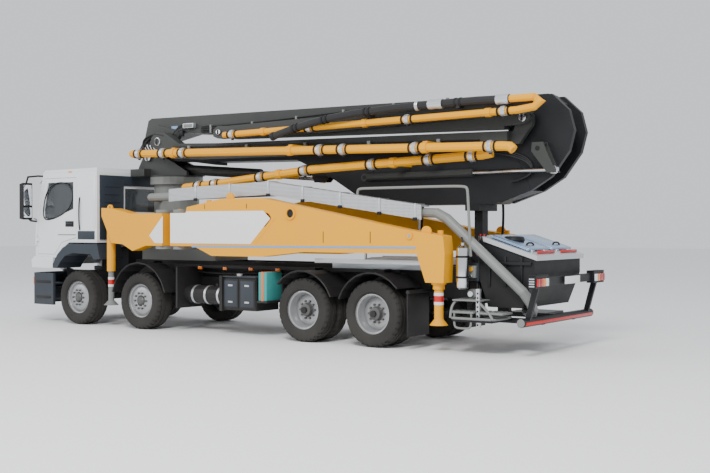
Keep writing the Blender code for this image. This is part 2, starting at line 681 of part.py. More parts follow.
def section_a():
    root = [
        (A_PIN[0] + 0.12, 3.16), (A_PIN[0] + 0.10, 3.29), (A_PIN[0], 3.335), (-1.6, 3.30), (-2.6, 3.28),
        (-2.6, 3.0), (-1.9, 3.09), (-1.3, 3.11), (A_PIN[0], 3.08),
    ]
    hull = [
        (-2.2, 3.30), (-8.7, 3.20), (-8.75, 3.0), (-9.02, 2.39), (-8.4, 2.20), (-6.16, 2.20), (-5.34, 2.68),
        (-4.60, 3.01), (-2.2, 3.06),
    ]
    shell = [
        (-8.5, 3.0), (-8.80, 3.62), (-9.0, 3.80), (-9.35, 3.80), (-9.62, 3.55), (REAR_MOST, 3.25), (-9.62, 2.95),
        (-9.35, 2.59), (-9.02, 2.39), (-8.5, 2.21),
    ]
    tongue = 0.165
    pieces = [prism(root, -A_ROOT_HALF_W, A_ROOT_HALF_W), prism(hull, -A_HALF_W, A_HALF_W)]
    pieces.append(prism(shell, tongue + 0.006, A_HALF_W - 0.004))
    pieces.append(prism(shell, 0.004 - A_HALF_W, -tongue - 0.006))
    pieces.append(pin(B_PIN[0], B_PIN[1], (-A_HALF_W + 0.01, A_HALF_W - 0.01), BOOM_PIN_R))
    for side in (1, -1):
        low, high = sorted((side * 0.062, side * 0.095))
        eye_x, eye_z = LIFT_EYE
        lug = [(eye_x + 0.25, eye_z + 0.28), (eye_x + 0.10, eye_z - 0.08), (eye_x - 0.12, eye_z - 0.08),
               (eye_x - 0.30, eye_z + 0.10), (eye_x - 0.30, eye_z + 0.28)]
        pieces.append(prism(lug, low, high))
    pieces.append(pin(ROCKER_PIN[0], ROCKER_PIN[1], (A_HALF_W - 0.03, FOLD_Y + 0.085), 0.035))
    pieces.append(pin(FOLD_FOOT[0], FOLD_FOOT[1], (A_HALF_W - 0.03, FOLD_Y + 0.05), 0.035))
    pocket = slab((LIFT_EYE[0] - 0.42, LIFT_EYE[0] + 0.42), (-0.065, 0.065), (2.3, 3.0))
    cuts = [pin(A_PIN[0], A_PIN[1], (-0.3, 0.3), BOOM_PIN_R + RUN), pocket]
    node("boom_section_a", "dark_grey", pieces, cuts, pivot=(A_PIN[0], 0, A_PIN[1]))


def section_b():
    beam = [
        (-8.55, 3.36), (-8.55, 3.83), (-1.02, 3.94), (-0.93, 3.90), (-0.80, 3.46), (-0.92, 3.44), (-1.9, 3.62),
        (-2.6, 3.56),
    ]
    knuckle_outline = [(-8.0, 3.40), (-8.0, 3.82), (-9.25, 3.82), (-9.42, 3.68), (-9.42, 3.35), (-9.2, 3.28), (-8.6, 3.37)]
    pieces = [prism(beam, -B_HALF_W, B_HALF_W), prism(knuckle_outline, -0.165, 0.165)]
    fork = [(-0.95, 3.47), (-1.30, 3.34), (-1.45, 3.31), (-1.62, 3.38), (-1.85, 3.66), (-1.2, 3.80)]
    pieces.append(prism(fork, B_HALF_W - 0.06, B_HALF_W + 0.03))
    pieces.append(pin(C_PIN[0], C_PIN[1], (B_HALF_W - 0.04, C_Y[1] + 0.03), BOOM_PIN_R))
    cuts = [pin(B_PIN[0], B_PIN[1], (-0.3, 0.3), BOOM_PIN_R + RUN)]
    node("boom_section_b", "boom_grey", pieces, cuts, pivot=(B_PIN[0], 0, B_PIN[1]))


def section_c():
    beam = [
        (-1.45, 3.27), (-1.27, 3.40), (-1.27, 3.53), (-1.40, 3.64), (-1.62, 3.62), (-2.0, 3.40), (-3.0, 3.36),
        (-8.75, 3.27), (-8.75, 3.06), (-2.6, 3.08), (-1.9, 3.12),
    ]
    half = (C_Y[0] + C_Y[1]) / 2
    tail = [(-8.5, 3.07), (-8.5, 3.26), (-8.80, 3.27), (-8.90, 3.53), (-9.02, 3.56), (-9.11, 3.49), (-9.11, 3.36), (-8.9, 3.08)]
    pieces = [prism(beam, *C_Y), prism(tail, C_Y[0], half - 0.003)]
    pieces.append(pin(D_PIN[0], D_PIN[1], (C_Y[0] + 0.01, C_Y[1] + 0.01), 0.05))
    cuts = [pin(C_PIN[0], C_PIN[1], (0.2, 0.6), BOOM_PIN_R + RUN)]
    node("boom_section_c", "boom_grey", pieces, cuts, pivot=(C_PIN[0], (C_Y[0] + C_Y[1]) / 2, C_PIN[1]))


def section_d():
    beam = [(-8.70, 3.30), (-8.70, 3.46), (-3.30, 3.62), (-3.08, 3.60), (-3.08, 3.46), (-3.30, 3.42), (-4.2, 3.40)]
    half = (C_Y[0] + C_Y[1]) / 2
    tail = [(-8.5, 3.34), (-8.5, 3.47), (-8.85, 3.53), (-9.04, 3.55), (-9.11, 3.45), (-9.04, 3.36), (-8.9, 3.35)]
    pieces = [prism(beam, C_Y[0] + 0.01, C_Y[1]), prism(tail, half + 0.003, C_Y[1])]
    pieces.append(pin(E_PIN[0], E_PIN[1], (C_Y[0] + 0.05, E_Y[1] + 0.02), 0.05))
    cuts = [pin(D_PIN[0], D_PIN[1], (0.2, 0.6), 0.05 + RUN)]
    node("boom_section_d", "boom_grey", pieces, cuts, pivot=(D_PIN[0], (C_Y[0] + C_Y[1]) / 2, D_PIN[1]))


def section_e():
    beam = [
        (-3.06, 3.46), (-3.06, 3.58), (-3.16, 3.64), (-3.40, 3.63), (-9.20, 3.72), (-9.28, 3.66), (-9.20, 3.50),
        (-5.5, 3.40), (-3.40, 3.42), (-3.16, 3.42),
    ]
    cuts = [pin(E_PIN[0], E_PIN[1], (0.5, 0.8), 0.05 + RUN)]
    node("boom_section_e", "boom_grey", [prism(beam, *E_Y)], cuts, pivot=(E_PIN[0], 0.6, E_PIN[1]))


def clamp(x, z, y, width, radius):
    """A strap round a pipe, drawn as a short wider ring."""
    half = width / 2
    return rod((x - half, y, z), (x + half, y, z), radius, 10)


def boom_pipes():
    """The delivery line along sections A, C and E, on brackets, and the end hose strapped along E."""
    y = COVER_INNER_Y - PIPE_R
    route = [(-2.35, y - 0.16, 2.55), (-2.42, y, 2.57), (-3.2, y, 2.62), (-5.3, y, 2.80), (-8.45, y, 2.91), (-8.62, y - 0.03, 2.94)]
    pieces = [pipe(route, PIPE_R)]
    for x, z in ((-4.6, 2.74), (-6.9, 2.855)):
        pieces.append(slab((x - 0.04, x + 0.04), (A_HALF_W + GAP, y), (z - 0.05, z + 0.05)))
        pieces.append(clamp(x, z, y, 0.10, PIPE_R + 0.015))
    node("pipe_a", "yellow_paint", pieces, pivot=(A_PIN[0], 0, A_PIN[1]))
    y = 0.94
    route = [(-1.20, y - 0.14, 3.20), (-1.26, y, 3.21), (-8.90, y, 3.01), (-9.02, y, 3.00), (-9.08, y, 2.95)]
    pieces = [pipe(route, PIPE_R)]
    for x, z in ((-2.3, 3.18), (-5.0, 3.112), (-7.6, 3.044)):
        arm_z = (z + 0.005, z + 0.10)
        pieces.append(slab((x - 0.04, x + 0.04), (C_Y[1] + GAP, y), arm_z))
        pieces.append(clamp(x, z, y, 0.10, PIPE_R + 0.015))
    node("pipe_c", "yellow_paint", pieces, pivot=(C_PIN[0], 0, C_PIN[1]))
    y = 0.80
    route = [(-3.40, y, 3.46), (-9.06, y, 3.53), (-9.33, y, 3.56), (-9.42, y, 3.63), (-9.33, y, 3.70), (-8.95, y, 3.70)]
    pieces = [pipe(route, 0.055)]
    for x, z in ((-4.3, 3.471), (-6.4, 3.497), (-8.6, 3.524)):
        pieces.append(slab((x - 0.04, x + 0.04), (E_Y[1] + GAP, y), (z - 0.03, z + 0.03)))
        pieces.append(clamp(x, z, y, 0.09, 0.068))
    node("pipe_e", "yellow_paint", pieces, pivot=(E_PIN[0], 0, E_PIN[1]))
    route = [
        (-8.95 + GAP, y, 3.70), (-8.85, y, 3.70), (-8.4, y, 3.71), (-7.6, y + 0.02, 3.705), (-6.9, y + 0.05, 3.685),
        (-6.3, y + 0.085, 3.65), (-5.8, y + 0.115, 3.60), (-5.4, y + 0.12, 3.54), (-5.0, y + 0.125, 3.46),
        (-4.64, y + 0.13, 3.37),
    ]
    pieces = [pipe(route, HOSE_R)]
    for x, z in ((-8.1, 3.66), (-6.5, 3.63)):
        pieces.append(slab((x - 0.03, x + 0.03), (E_Y[1] + GAP, y + 0.03), (z - 0.04, z)))
    node("end_hose", "rubber", pieces, pivot=(E_PIN[0], 0, E_PIN[1]))


def cylinder(name, foot, eye, y, barrel_r, rod_r, barrel_share, eye_r, eye_half):
    """A barrel with a foot eye on a pin, and a rod that slides in it and ends in an open eye."""
    foot_point, eye_point = Vector((foot[0], y, foot[1])), Vector((eye[0], y, eye[1]))
    line = eye_point - foot_point
    along = line.normalized()
    mouth = foot_point + line * barrel_share
    bore = rod(mouth - line * (barrel_share - 0.10), mouth + along * 0.1, rod_r + RUN, 16)
    barrel = [rod(foot_point + along * (eye_r + 0.004), mouth, barrel_r, 16)]
    barrel.append(pin(foot[0], foot[1], (y - eye_half, y + eye_half), eye_r + 0.03, 16))
    cuts = [bore, pin(foot[0], foot[1], (y - 0.3, y + 0.3), eye_r + RUN)]
    node(f"{name}_barrel", "boom_grey", barrel, cuts, pivot=tuple(foot_point))
    start = foot_point + line * 0.13
    bar = [rod(start, eye_point - along * 0.03, rod_r, 16)]
    bar.append(pin(eye[0], eye[1], (y - eye_half, y + eye_half), rod_r + 0.03, 16))
    node(f"{name}_rod", "chrome", bar, pivot=tuple(eye_point))


def rocker():
    """The link that turns section B: it swings on A's pin and is pushed by the fold cylinder."""
    x, z = ROCKER_PIN
    outline = [(x - 0.09, z + 0.09), (x + 0.09, z + 0.09), (x + 0.10, z - 0.04), (FOLD_EYE[0] + 0.07, FOLD_EYE[1] - 0.05),
               (FOLD_EYE[0] - 0.07, FOLD_EYE[1] - 0.05), (x - 0.14, z - 0.04)]
    plate_y = (FOLD_Y + 0.052, FOLD_Y + 0.080)
    inner_y = (A_HALF_W + 0.003, A_HALF_W + 0.024)
    pieces = [prism(outline, *inner_y), prism(outline, *plate_y)]
    pieces.append(slab((x - 0.085, x + 0.085), (inner_y[0], plate_y[1]), (z + 0.06, z + 0.085)))
    cuts = [pin(x, z, (0.2, 0.5), 0.035 + RUN)]
    node("fold_rocker", "boom_grey", pieces, cuts, pivot=(x, FOLD_Y, z))


def boom():
    turret()
    section_a()
    section_b()
    section_c()
    section_d()
    section_e()
    boom_pipes()
    cylinder("lift_cylinder", LIFT_FOOT, LIFT_EYE, 0.0, LIFT_BARREL_R, LIFT_ROD_R, 0.62, 0.04, 0.055)
    cylinder("fold_cylinder", FOLD_FOOT, FOLD_EYE, FOLD_Y, FOLD_BARREL_R, FOLD_ROD_R, 0.60, 0.035, 0.045)
    rocker()


# ---------------------------------------------------------------- hopper, pump line and side gear
def hopper():
    hinge_x, hinge_z = LID_HINGE
    outline = [
        (HOPPER_FRONT, 1.66), (HOPPER_REAR, 1.38), (HOPPER_REAR, 1.16), (-9.15, HOPPER_FLOOR), (-8.60, HOPPER_FLOOR),
        (HOPPER_FRONT, 1.1),
    ]
    inner = [
        (HOPPER_FRONT - 0.04, 1.80), (HOPPER_REAR + 0.04, 1.50), (HOPPER_REAR + 0.04, 1.17), (-9.12, HOPPER_FLOOR + 0.04),
        (-8.63, HOPPER_FLOOR + 0.04), (HOPPER_FRONT - 0.04, 1.12),
    ]
    pieces = [prism(outline, -HOPPER_Y, HOPPER_Y)]
    cuts = [prism(inner, 0.04 - HOPPER_Y, HOPPER_Y - 0.04)]
    walls = combine([combine(pieces, "UNION"), *cuts], "DIFFERENCE")
    extras = [walls]
    for side in (1, -1):
        low, high = sorted((side * (RAIL_Y - RAIL_W), side * RAIL_Y))
        extras.append(slab((-8.66, -8.20), (low, high), (0.705, RAIL_Z[0] - GAP)))
        extras.append(post(hinge_x, side * 0.46, (1.30, hinge_z - 0.01), 0.028, 10))
        low, high = sorted((side * 0.42, side * (0.50 - GAP)))
        extras.append(pin(hinge_x, hinge_z, (low, high), 0.03, 12))
    extras.append(slab((-8.52, -8.44), (-0.55, 0.55), (1.28, 1.40)))
    node("hopper", "chassis_black", extras)
    slope = (1.38 - 1.66) / (HOPPER_REAR - HOPPER_FRONT)
    front_x, rear_x = -8.53, HOPPER_REAR - 0.05

    def lid_z(at_x):
        return 1.66 + slope * (at_x - HOPPER_FRONT) + 0.005

    outline = [
        (front_x, lid_z(front_x)), (front_x, lid_z(front_x) + 0.07), (rear_x, lid_z(rear_x) + 0.07), (rear_x, lid_z(rear_x)),
    ]
    lid = [prism(outline, -HOPPER_Y - 0.03, HOPPER_Y + 0.03)]
    for side in (1, -1):
        low, high = sorted((side * 0.50, side * 0.60))
        lid.append(pin(hinge_x, hinge_z, (low, high), 0.03, 12))
        lid.append(slab((front_x - 0.04, hinge_x), (low + 0.005, high - 0.005), (hinge_z - 0.02, hinge_z + 0.025)))
    node("hopper_lid", "aluminium", lid, pivot=(hinge_x, 0, hinge_z))


def height_at(points, x):
    """The height of a line of (x, z) points at x."""
    ordered = sorted(points)
    for (x0, z0), (x1, z1) in zip(ordered, ordered[1:]):
        if x0 <= x <= x1:
            return z0 + (z1 - z0) * (x - x0) / (x1 - x0)
    return ordered[0][1] if x < ordered[0][0] else ordered[-1][1]


def delivery_line():
    """The grey pipe from the hopper's underside up the left side, forward under its cover, and into the pedestal."""
    y = DELIVERY_Y
    top_run = [(-7.80, 2.06), (-7.5, 2.07), (-4.9, 2.44), (-2.0, 2.40)]
    route = [(-8.88, 0.10, HOPPER_FLOOR - GAP), (-8.88, 0.10, 0.59), (-9.00, 0.26, 0.58), (-9.16, 0.50, 0.59)]
    route += [(-9.27, 0.70, 0.66), (-9.31, y - 0.06, 0.77), (-9.22, y, 0.92), (-7.98, y, 1.97)]
    route += [(x, y, z) for x, z in top_run]
    route += [(-1.66, y - 0.06, 2.40), (TURRET_X, 0.64, 2.40), (TURRET_X, COLUMN_R + GAP, 2.40)]
    top = [(-2.30, 2.53), (-2.95, 2.56), (-4.60, 2.61), (-7.60, 2.18)]
    sheet = 0.025
    pieces = [pipe(route, DELIVERY_R, 12)]
    for x in (-3.4, -6.6):
        ends = (x - 0.02, x + 0.02)
        stud = [(end, height_at(top_run, end)) for end in ends]
        stud += [(end, height_at(top, end) - sheet - GAP) for end in reversed(ends)]
        pieces.append(prism(stud, y - 0.02, y + 0.02))
    node("delivery_pipe", "light_grey", pieces)
    outline = top + [(x, z - sheet) for x, z in reversed(top)]
    side_outline = top + [(x, z - 0.22) for x, z in reversed(top)]
    cover = [prism(outline, COVER_INNER_Y, y + 0.13), prism(side_outline, y + 0.105, y + 0.13)]
    node("pipe_cover", "aluminium", cover)


def side_gear():
    walkway()
    pair("side_frame", "chassis_black", mudguards() + racks())
    rear_guard()


def walkway():
    deck = [slab((-7.62, -5.54), (0.46, 0.975), (1.28, 1.32))]
    deck.append(slab((-7.62, -5.54), (RAIL_Y - 0.005 + GAP, 0.50), (1.175, 1.31)))
    rail_y = 0.80
    deck.append(pipe([(-6.42, rail_y, 1.30), (-6.42, rail_y, 1.98)], 0.02, 8))
    pair("walkway", "aluminium", deck)


def arch_band(x, inner_r, outer_r, start, end, steps=8):
    """The outline of a mudguard band round a wheel, from one angle to another in degrees."""
    angles = [math.radians(start + (end - start) * k / steps) for k in range(steps + 1)]
    hub = HUB_Z
    outside = [(x + outer_r * math.cos(a), hub + outer_r * math.sin(a)) for a in angles]
    inside = [(x + inner_r * math.cos(a), hub + inner_r * math.sin(a)) for a in reversed(angles)]
    return outside + inside


def mudguards():
    clear = TYRE_R + 0.13
    pieces = []
    pieces.append(prism(arch_band(AXLES[1], clear + 0.03, clear + 0.05, 12, 165), 0.78, 1.23))
    pieces.append(prism(arch_band(AXLES[2], clear - 0.03, clear - 0.01, 40, 158), 0.56, 1.235))
    pieces.append(prism(arch_band(AXLES[3], clear - 0.03, clear - 0.01, 20, 140), 0.56, 1.235))
    rail_z = 1.13
    pieces.append(slab((-7.0, -1.62), (0.66, 0.72), (rail_z, rail_z + 0.05)))
    pieces.append(slab((-1.75, -1.62), (0.68, 0.90), (rail_z + 0.02, rail_z + 0.10)))
    for x in (-2.6, -4.4, -6.12):
        pieces.append(slab((x - 0.03, x + 0.03), (RAIL_Y + GAP, 0.70), (rail_z - 0.01, rail_z + 0.04)))
        pieces.append(slab((x - 0.03, x + 0.03), (RAIL_Y + GAP, RAIL_Y + 0.03), (0.90, rail_z + 0.03)))
    for x in (AXLES[2], AXLES[3]):
        pieces.append(slab((x - 0.03, x + 0.03), (0.68, 0.90), (rail_z - 0.01, rail_z + 0.06)))
    return pieces


def racks():
    """Plate, air tanks and tool boxes hung from the rail between the second and third axles."""
    pieces = [slab((-2.62, -2.58), (0.50, 1.16), (0.42, 1.15))]
    pieces.append(slab((-4.66, -2.58), (RAIL_Y + GAP, 0.54), (0.78, 0.96)))
    pieces.append(rod((-2.66 + 0.06, 0.84, 0.66), (-3.62, 0.84, 0.66), 0.16, 14))
    pieces.append(slab((-3.30, -3.24), (0.50, 0.84), (0.80, 0.86)))
    pieces.append(slab((-3.66, -3.60), (0.50, 1.14), (0.42, 1.02)))
    pieces.append(slab((-4.40, -3.64), (0.52, 1.10), (0.44, 1.00)))
    return pieces


def rear_guard():
    """The rear frame: underrun bar, lamp bars, treads and the step on each side."""
    pieces = [rod((-9.33, -1.21, 0.505), (-9.33, 1.21, 0.505), 0.065, 12)]
    for side in (1, -1):
        low, high = sorted((side * 0.50, side * 0.58))
        pieces.append(slab((-9.36, -8.05), (low, high), (0.44, 0.515)))
        low, high = sorted((side * (RAIL_Y + GAP), side * 0.54))
        pieces.append(slab((-8.30, -8.10), (low, high), (0.46, 0.96)))
        low, high = sorted((side * 0.55, side * 1.22))
        pieces.append(slab((-8.88, -8.24), (low, high), (0.48, 0.515)))
    pieces.append(slab((-9.52, -9.46), (-1.22, 1.22), (1.02, 1.14)))
    for side in (1, -1):
        low, high = sorted((side * 0.82, side * 1.22))
        pieces.append(slab((-9.56, -9.44), (low, high), (0.99, 1.17)))
        low, high = sorted((side * 1.00, side * 1.05))
        strut = [(-9.30, 0.50), (-9.38, 0.50), (-9.52, 1.00), (-9.52, 1.10), (-9.46, 1.10)]
        pieces.append(prism(strut, low, high))
    node("rear_guard", "dark_grey", pieces)


def main():
    for leftover in list(bpy.data.objects):
        bpy.data.objects.remove(leftover)
    running_gear()
    chassis_frame()
    cab()
    bumper()
    pedestal()
    outriggers()
    boom()
    hopper()
    delivery_line()
    side_gear()


main()
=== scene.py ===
# %% Load the frame
import json
import math

import bpy
from mathutils import Matrix, Vector

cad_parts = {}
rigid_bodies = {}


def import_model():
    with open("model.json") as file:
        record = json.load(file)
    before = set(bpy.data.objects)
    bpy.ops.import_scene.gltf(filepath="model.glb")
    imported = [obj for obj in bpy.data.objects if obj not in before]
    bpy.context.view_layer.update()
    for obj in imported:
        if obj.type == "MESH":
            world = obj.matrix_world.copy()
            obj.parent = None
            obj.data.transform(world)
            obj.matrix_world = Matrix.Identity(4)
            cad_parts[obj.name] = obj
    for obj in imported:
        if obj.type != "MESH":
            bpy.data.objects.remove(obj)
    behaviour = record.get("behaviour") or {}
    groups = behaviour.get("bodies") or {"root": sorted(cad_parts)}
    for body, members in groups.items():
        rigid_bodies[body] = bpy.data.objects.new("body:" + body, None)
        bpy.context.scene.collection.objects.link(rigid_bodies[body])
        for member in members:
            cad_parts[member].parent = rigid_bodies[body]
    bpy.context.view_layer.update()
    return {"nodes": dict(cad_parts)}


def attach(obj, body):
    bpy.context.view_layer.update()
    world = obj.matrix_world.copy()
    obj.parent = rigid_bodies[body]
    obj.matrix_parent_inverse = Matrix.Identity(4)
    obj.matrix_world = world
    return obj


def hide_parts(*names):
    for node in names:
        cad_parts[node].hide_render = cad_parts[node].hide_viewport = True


for startup in list(bpy.data.objects):
    bpy.data.objects.remove(startup)
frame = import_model()

# %% [markdown]
# Every place on the truck is measured along its length from the first axle, as its maker would. The
# shared frame is centred on the truck's length instead, so one shift joins the two. Places are given
# as (x, y, z) from the first axle at ground level, and each helper adds the shift once.

# %% Places and counts
SHIFT = 4.13
SIDES = (("left", 1), ("right", -1))
AXLES = (0.0, -1.70, -5.45, -6.80)
HUB_Z = 0.5136
TURRET_X = -1.45


def place(point):
    return Vector((point[0] + SHIFT, point[1], point[2]))


def clear():
    """Leave edit mode and select nothing, so that an operator acts on the new piece alone."""
    if bpy.context.object and bpy.context.object.mode != "OBJECT":
        bpy.ops.object.mode_set(mode="OBJECT")
    bpy.ops.object.select_all(action="DESELECT")


# %% [markdown]
# Paint, rubber and metal all differ by small changes over their surface: dust low down and a grain in
# the casting. Each is a sum of noise and height. Written as Python expressions on
# wrapped sockets, the sum reads like the formula that it is, and each operator adds its Math node.

# %% Socket arithmetic
class Value:
    """One output socket of a material, with arithmetic that adds Math nodes."""

    def __init__(self, tree, socket):
        self.tree = tree
        self.socket = socket

    def math(self, operation, first, second):
        node = self.tree.nodes.new("ShaderNodeMath")
        node.operation = operation
        for slot, value in zip(node.inputs, (first, second)):
            if isinstance(value, Value):
                self.tree.links.new(value.socket, slot)
            else:
                slot.default_value = value
        return Value(self.tree, node.outputs[0])

    def __add__(self, other):
        return self.math("ADD", self, other)

    __radd__ = __add__

    def __sub__(self, other):
        return self.math("SUBTRACT", self, other)

    def __rsub__(self, other):
        return self.math("SUBTRACT", other, self)

    def __mul__(self, other):
        return self.math("MULTIPLY", self, other)

    __rmul__ = __mul__

    def below(self, limit):
        return self.math("LESS_THAN", self, limit)

    def over(self, step):
        """How far the value is into the step that it stands in, from 0 to the step."""
        return self.math("FLOORED_MODULO", self, step)


class Finish:
    """A material under construction: its Object coordinates, its nodes and its shader."""

    def __init__(self, name, colour, roughness, metallic=0.0, coat=0.0):
        self.material = bpy.data.materials.new(name)
        self.material.use_nodes = True
        self.tree = self.material.node_tree
        self.shader = self.tree.nodes["Principled BSDF"]
        self.shader.inputs["Base Color"].default_value = (*colour, 1.0)
        self.shader.inputs["Roughness"].default_value = roughness
        self.shader.inputs["Metallic"].default_value = metallic
        self.shader.inputs["Coat Weight"].default_value = coat
        self.shader.inputs["Coat Roughness"].default_value = 0.12
        self.shader.inputs["Specular IOR Level"].default_value = 0.3
        self.material.diffuse_color = (*colour, 1.0)

    def node(self, kind, settings, inputs, output=0):
        """Any node: its settings first, then the values or links of its sockets."""
        node = self.tree.nodes.new(kind)
        for key, value in settings.items():
            if key == "stops":
                for index, (place_at, colour) in enumerate(value):
                    stop = node.color_ramp.elements
                    item = stop[index] if index < len(stop) else stop.new(place_at)
                    item.position = place_at
                    item.color = (*colour, 1.0)
            else:
                setattr(node, key, value)
        for key, value in inputs.items():
            if isinstance(value, Value):
                self.tree.links.new(value.socket, node.inputs[key])
            else:
                node.inputs[key].default_value = value
        return Value(self.tree, node.outputs[output])

    def spot(self):
        return self.node("ShaderNodeTexCoord", {}, {}, "Object")

    def noise(self, scale, detail=3.0):
        return self.node("ShaderNodeTexNoise", {}, {"Vector": self.spot(), "Scale": scale, "Detail": detail})

    def axis(self, name):
        return self.node("ShaderNodeSeparateXYZ", {}, {"Vector": self.spot()}, name)

    def mix(self, factor, first, second):
        inputs = {"Factor": factor, "A": first, "B": second}
        node = self.tree.nodes.new("ShaderNodeMix")
        node.data_type = "RGBA"
        sockets = {"Factor": node.inputs[0], "A": node.inputs[6], "B": node.inputs[7]}
        for key, value in inputs.items():
            if isinstance(value, Value):
                self.tree.links.new(value.socket, sockets[key])
            else:
                sockets[key].default_value = value if key == "Factor" else (*value, 1.0)
        return Value(self.tree, node.outputs[2])

    def feed(self, name, value):
        self.tree.links.new(value.socket, self.shader.inputs[name])

    def bump(self, height, distance):
        made_bump = self.node("ShaderNodeBump", {}, {"Height": height, "Distance": distance, "Strength": 1.0})
        self.feed("Normal", made_bump)


# %% [markdown]
# A truck's paint gathers a little dust near the road and stays clean above. The mix from clean to
# dusty follows height and a slow noise, and the same noise makes the gloss uneven.

# %% Paints and metals
DUST = (0.23, 0.21, 0.18)
finishes = {}


def painted(name, colour, roughness, metallic=0.0, coat=0.0, dust=0.25, grain=0.0, grain_scale=60.0):
    """A paint with road dust low down, uneven gloss and, if asked, a fine grain."""
    finish = Finish(name, colour, roughness, metallic, coat)
    slow = finish.noise(1.7)
    height = finish.node("ShaderNodeMapRange", {"clamp": True},
                         {"Value": finish.axis("Z"), 1: 0.1, 2: 1.5, 3: 1.0, 4: 0.0})
    amount = (slow * 0.8 + 0.2) * height * dust + (slow - 0.35) * 0.06
    finish.feed("Base Color", finish.mix(amount, colour, DUST))
    finish.feed("Roughness", (finish.noise(7.0) - 0.5) * 0.14 + roughness)
    if grain:
        finish.bump(finish.noise(grain_scale, 4.0), grain)
    finishes[name] = finish.material
    return finish


painted("white_paint", (0.78, 0.79, 0.80), 0.24, coat=0.5, dust=0.10)
painted("yellow_paint", (0.83, 0.37, 0.002), 0.46, coat=0.04, dust=0.08)
painted("boom_grey", (0.040, 0.043, 0.040), 0.44, coat=0.0, dust=0.0, grain=0.0006)
painted("dark_grey", (0.009, 0.010, 0.012), 0.44, coat=0.0, dust=0.0, grain=0.0006)
# slate is a real dark blue-grey on the grille, valves and trim; on the cab's back wall it is painted shade,
# standing for white paint in shadow
painted("slate", (0.026, 0.034, 0.046), 0.46, dust=0.12)
painted("chassis_black", (0.007, 0.0075, 0.009), 0.52, dust=0.14, grain=0.0008)
painted("light_grey", (0.20, 0.21, 0.20), 0.42, dust=0.05)
painted("aluminium", (0.60, 0.62, 0.64), 0.34, metallic=0.75, dust=0.05)
painted("fabric", (0.035, 0.037, 0.042), 0.88, dust=0.0, grain=0.002, grain_scale=220.0)
painted("chrome", (0.66, 0.67, 0.69), 0.16, metallic=1.0, dust=0.0)
painted("hose_rubber", (0.020, 0.020, 0.021), 0.52, dust=0.0, grain=0.0006, grain_scale=120.0)
painted("tyre", (0.016, 0.0155, 0.015), 0.82, dust=0.16, grain=0.0012, grain_scale=90.0)
painted("silver_rim", (0.40, 0.41, 0.42), 0.36, metallic=0.55, dust=0.30)
painted("hub_grey", (0.09, 0.092, 0.095), 0.45, metallic=0.3, dust=0.30)
painted("red_lens", (0.42, 0.006, 0.008), 0.18, coat=0.8, dust=0.0)
painted("amber_lens", (0.85, 0.22, 0.01), 0.18, coat=0.8, dust=0.0)
painted("white_film", (0.80, 0.80, 0.79), 0.32, coat=0.3, dust=0.0)
painted("red_film", (0.55, 0.018, 0.012), 0.35, coat=0.2, dust=0.0)
painted("blue_film", (0.20, 0.33, 0.50), 0.40, dust=0.0)
painted("lamp_clear", (0.75, 0.78, 0.80), 0.08, coat=1.0, dust=0.0)
painted("lid_blue", (0.30, 0.42, 0.60), 0.28, metallic=0.6, dust=0.0)
painted("pad_green", (0.04, 0.30, 0.29), 0.6, dust=0.1)
painted("orange_strap", (0.80, 0.16, 0.02), 0.6, dust=0.0)
print(len(finishes), "finishes")

# %% [markdown]
# The cover over the pump line is perforated sheet. Modelling thousands of holes would cost far more
# triangles than they show, so the holes are a pattern: rows of dots along the sheet, dark in colour
# and pressed in by a bump.

# %% Perforated sheet and clear glass
HOLE_PITCH = 0.022
sheet_finish = Finish("perforated_sheet", (0.62, 0.64, 0.66), 0.36, 0.6)
along = sheet_finish.axis("X").over(HOLE_PITCH) - HOLE_PITCH / 2
across = (sheet_finish.axis("Y") + sheet_finish.axis("Z")).over(HOLE_PITCH) - HOLE_PITCH / 2
hole = (along * along + across * across).below((HOLE_PITCH * 0.26) ** 2)
sheet_finish.feed("Base Color", sheet_finish.mix(hole, (0.58, 0.60, 0.62), (0.10, 0.11, 0.12)))
sheet_finish.bump(1.0 - hole, 0.001)
finishes["perforated_sheet"] = sheet_finish.material

glass = Finish("window_glass", (0.05, 0.06, 0.065), 0.04, coat=1.0)
glass.shader.inputs["Alpha"].default_value = 0.62
finishes["window_glass"] = glass.material
mirror_glass = Finish("mirror_glass", (0.75, 0.77, 0.80), 0.03, 1.0)
finishes["mirror_glass"] = mirror_glass.material

# %% [markdown]
# The CAD nodes keep their shapes and get the finishes of their slots.

# %% Finishes on the CAD nodes
for node_object in frame["nodes"].values():
    for index, old in enumerate(node_object.data.materials):
        node_object.data.materials[index] = finishes[old.name.split(".")[0]]
frame["nodes"]["pipe_cover"].data.materials[0] = finishes["perforated_sheet"]
print(len(frame["nodes"]), "CAD nodes finished")


# %% [markdown]
# Every small part starts as a primitive at its size and place. A block gets its edges broken, a
# plate is a ring of points pulled to an outline and extruded, a turned part is a closed ring spun
# round its axle, and a hose is a curve with a round section made into a mesh.

# %% Shape helpers
def settle(obj, finish, smooth=35):
    """Closes a piece: place into the mesh, doubles merged, faces outward, finish and smoothing set."""
    clear()
    obj.select_set(True)
    bpy.context.view_layer.objects.active = obj
    bpy.ops.object.transform_apply(location=True, rotation=True, scale=True)
    bpy.ops.object.mode_set(mode="EDIT")
    bpy.ops.mesh.select_all(action="SELECT")
    bpy.ops.mesh.remove_doubles(threshold=0.00005)
    bpy.ops.mesh.normals_make_consistent(inside=False)
    bpy.ops.object.mode_set(mode="OBJECT")
    obj.data.materials.clear()
    obj.data.materials.append(finishes[finish])
    bpy.ops.object.shade_smooth_by_angle(angle=math.radians(smooth))
    return obj


def bevelled(obj, width, segments=2):
    """Breaks the edges of the piece with a Bevel that is applied."""
    if width:
        modifier = obj.modifiers.new("edges", "BEVEL")
        modifier.width = width
        modifier.segments = segments
        modifier.limit_method = "ANGLE"
        modifier.angle_limit = math.radians(40)
        clear()
        bpy.context.view_layer.objects.active = obj
        obj.select_set(True)
        bpy.ops.object.modifier_apply(modifier=modifier.name)
    return obj


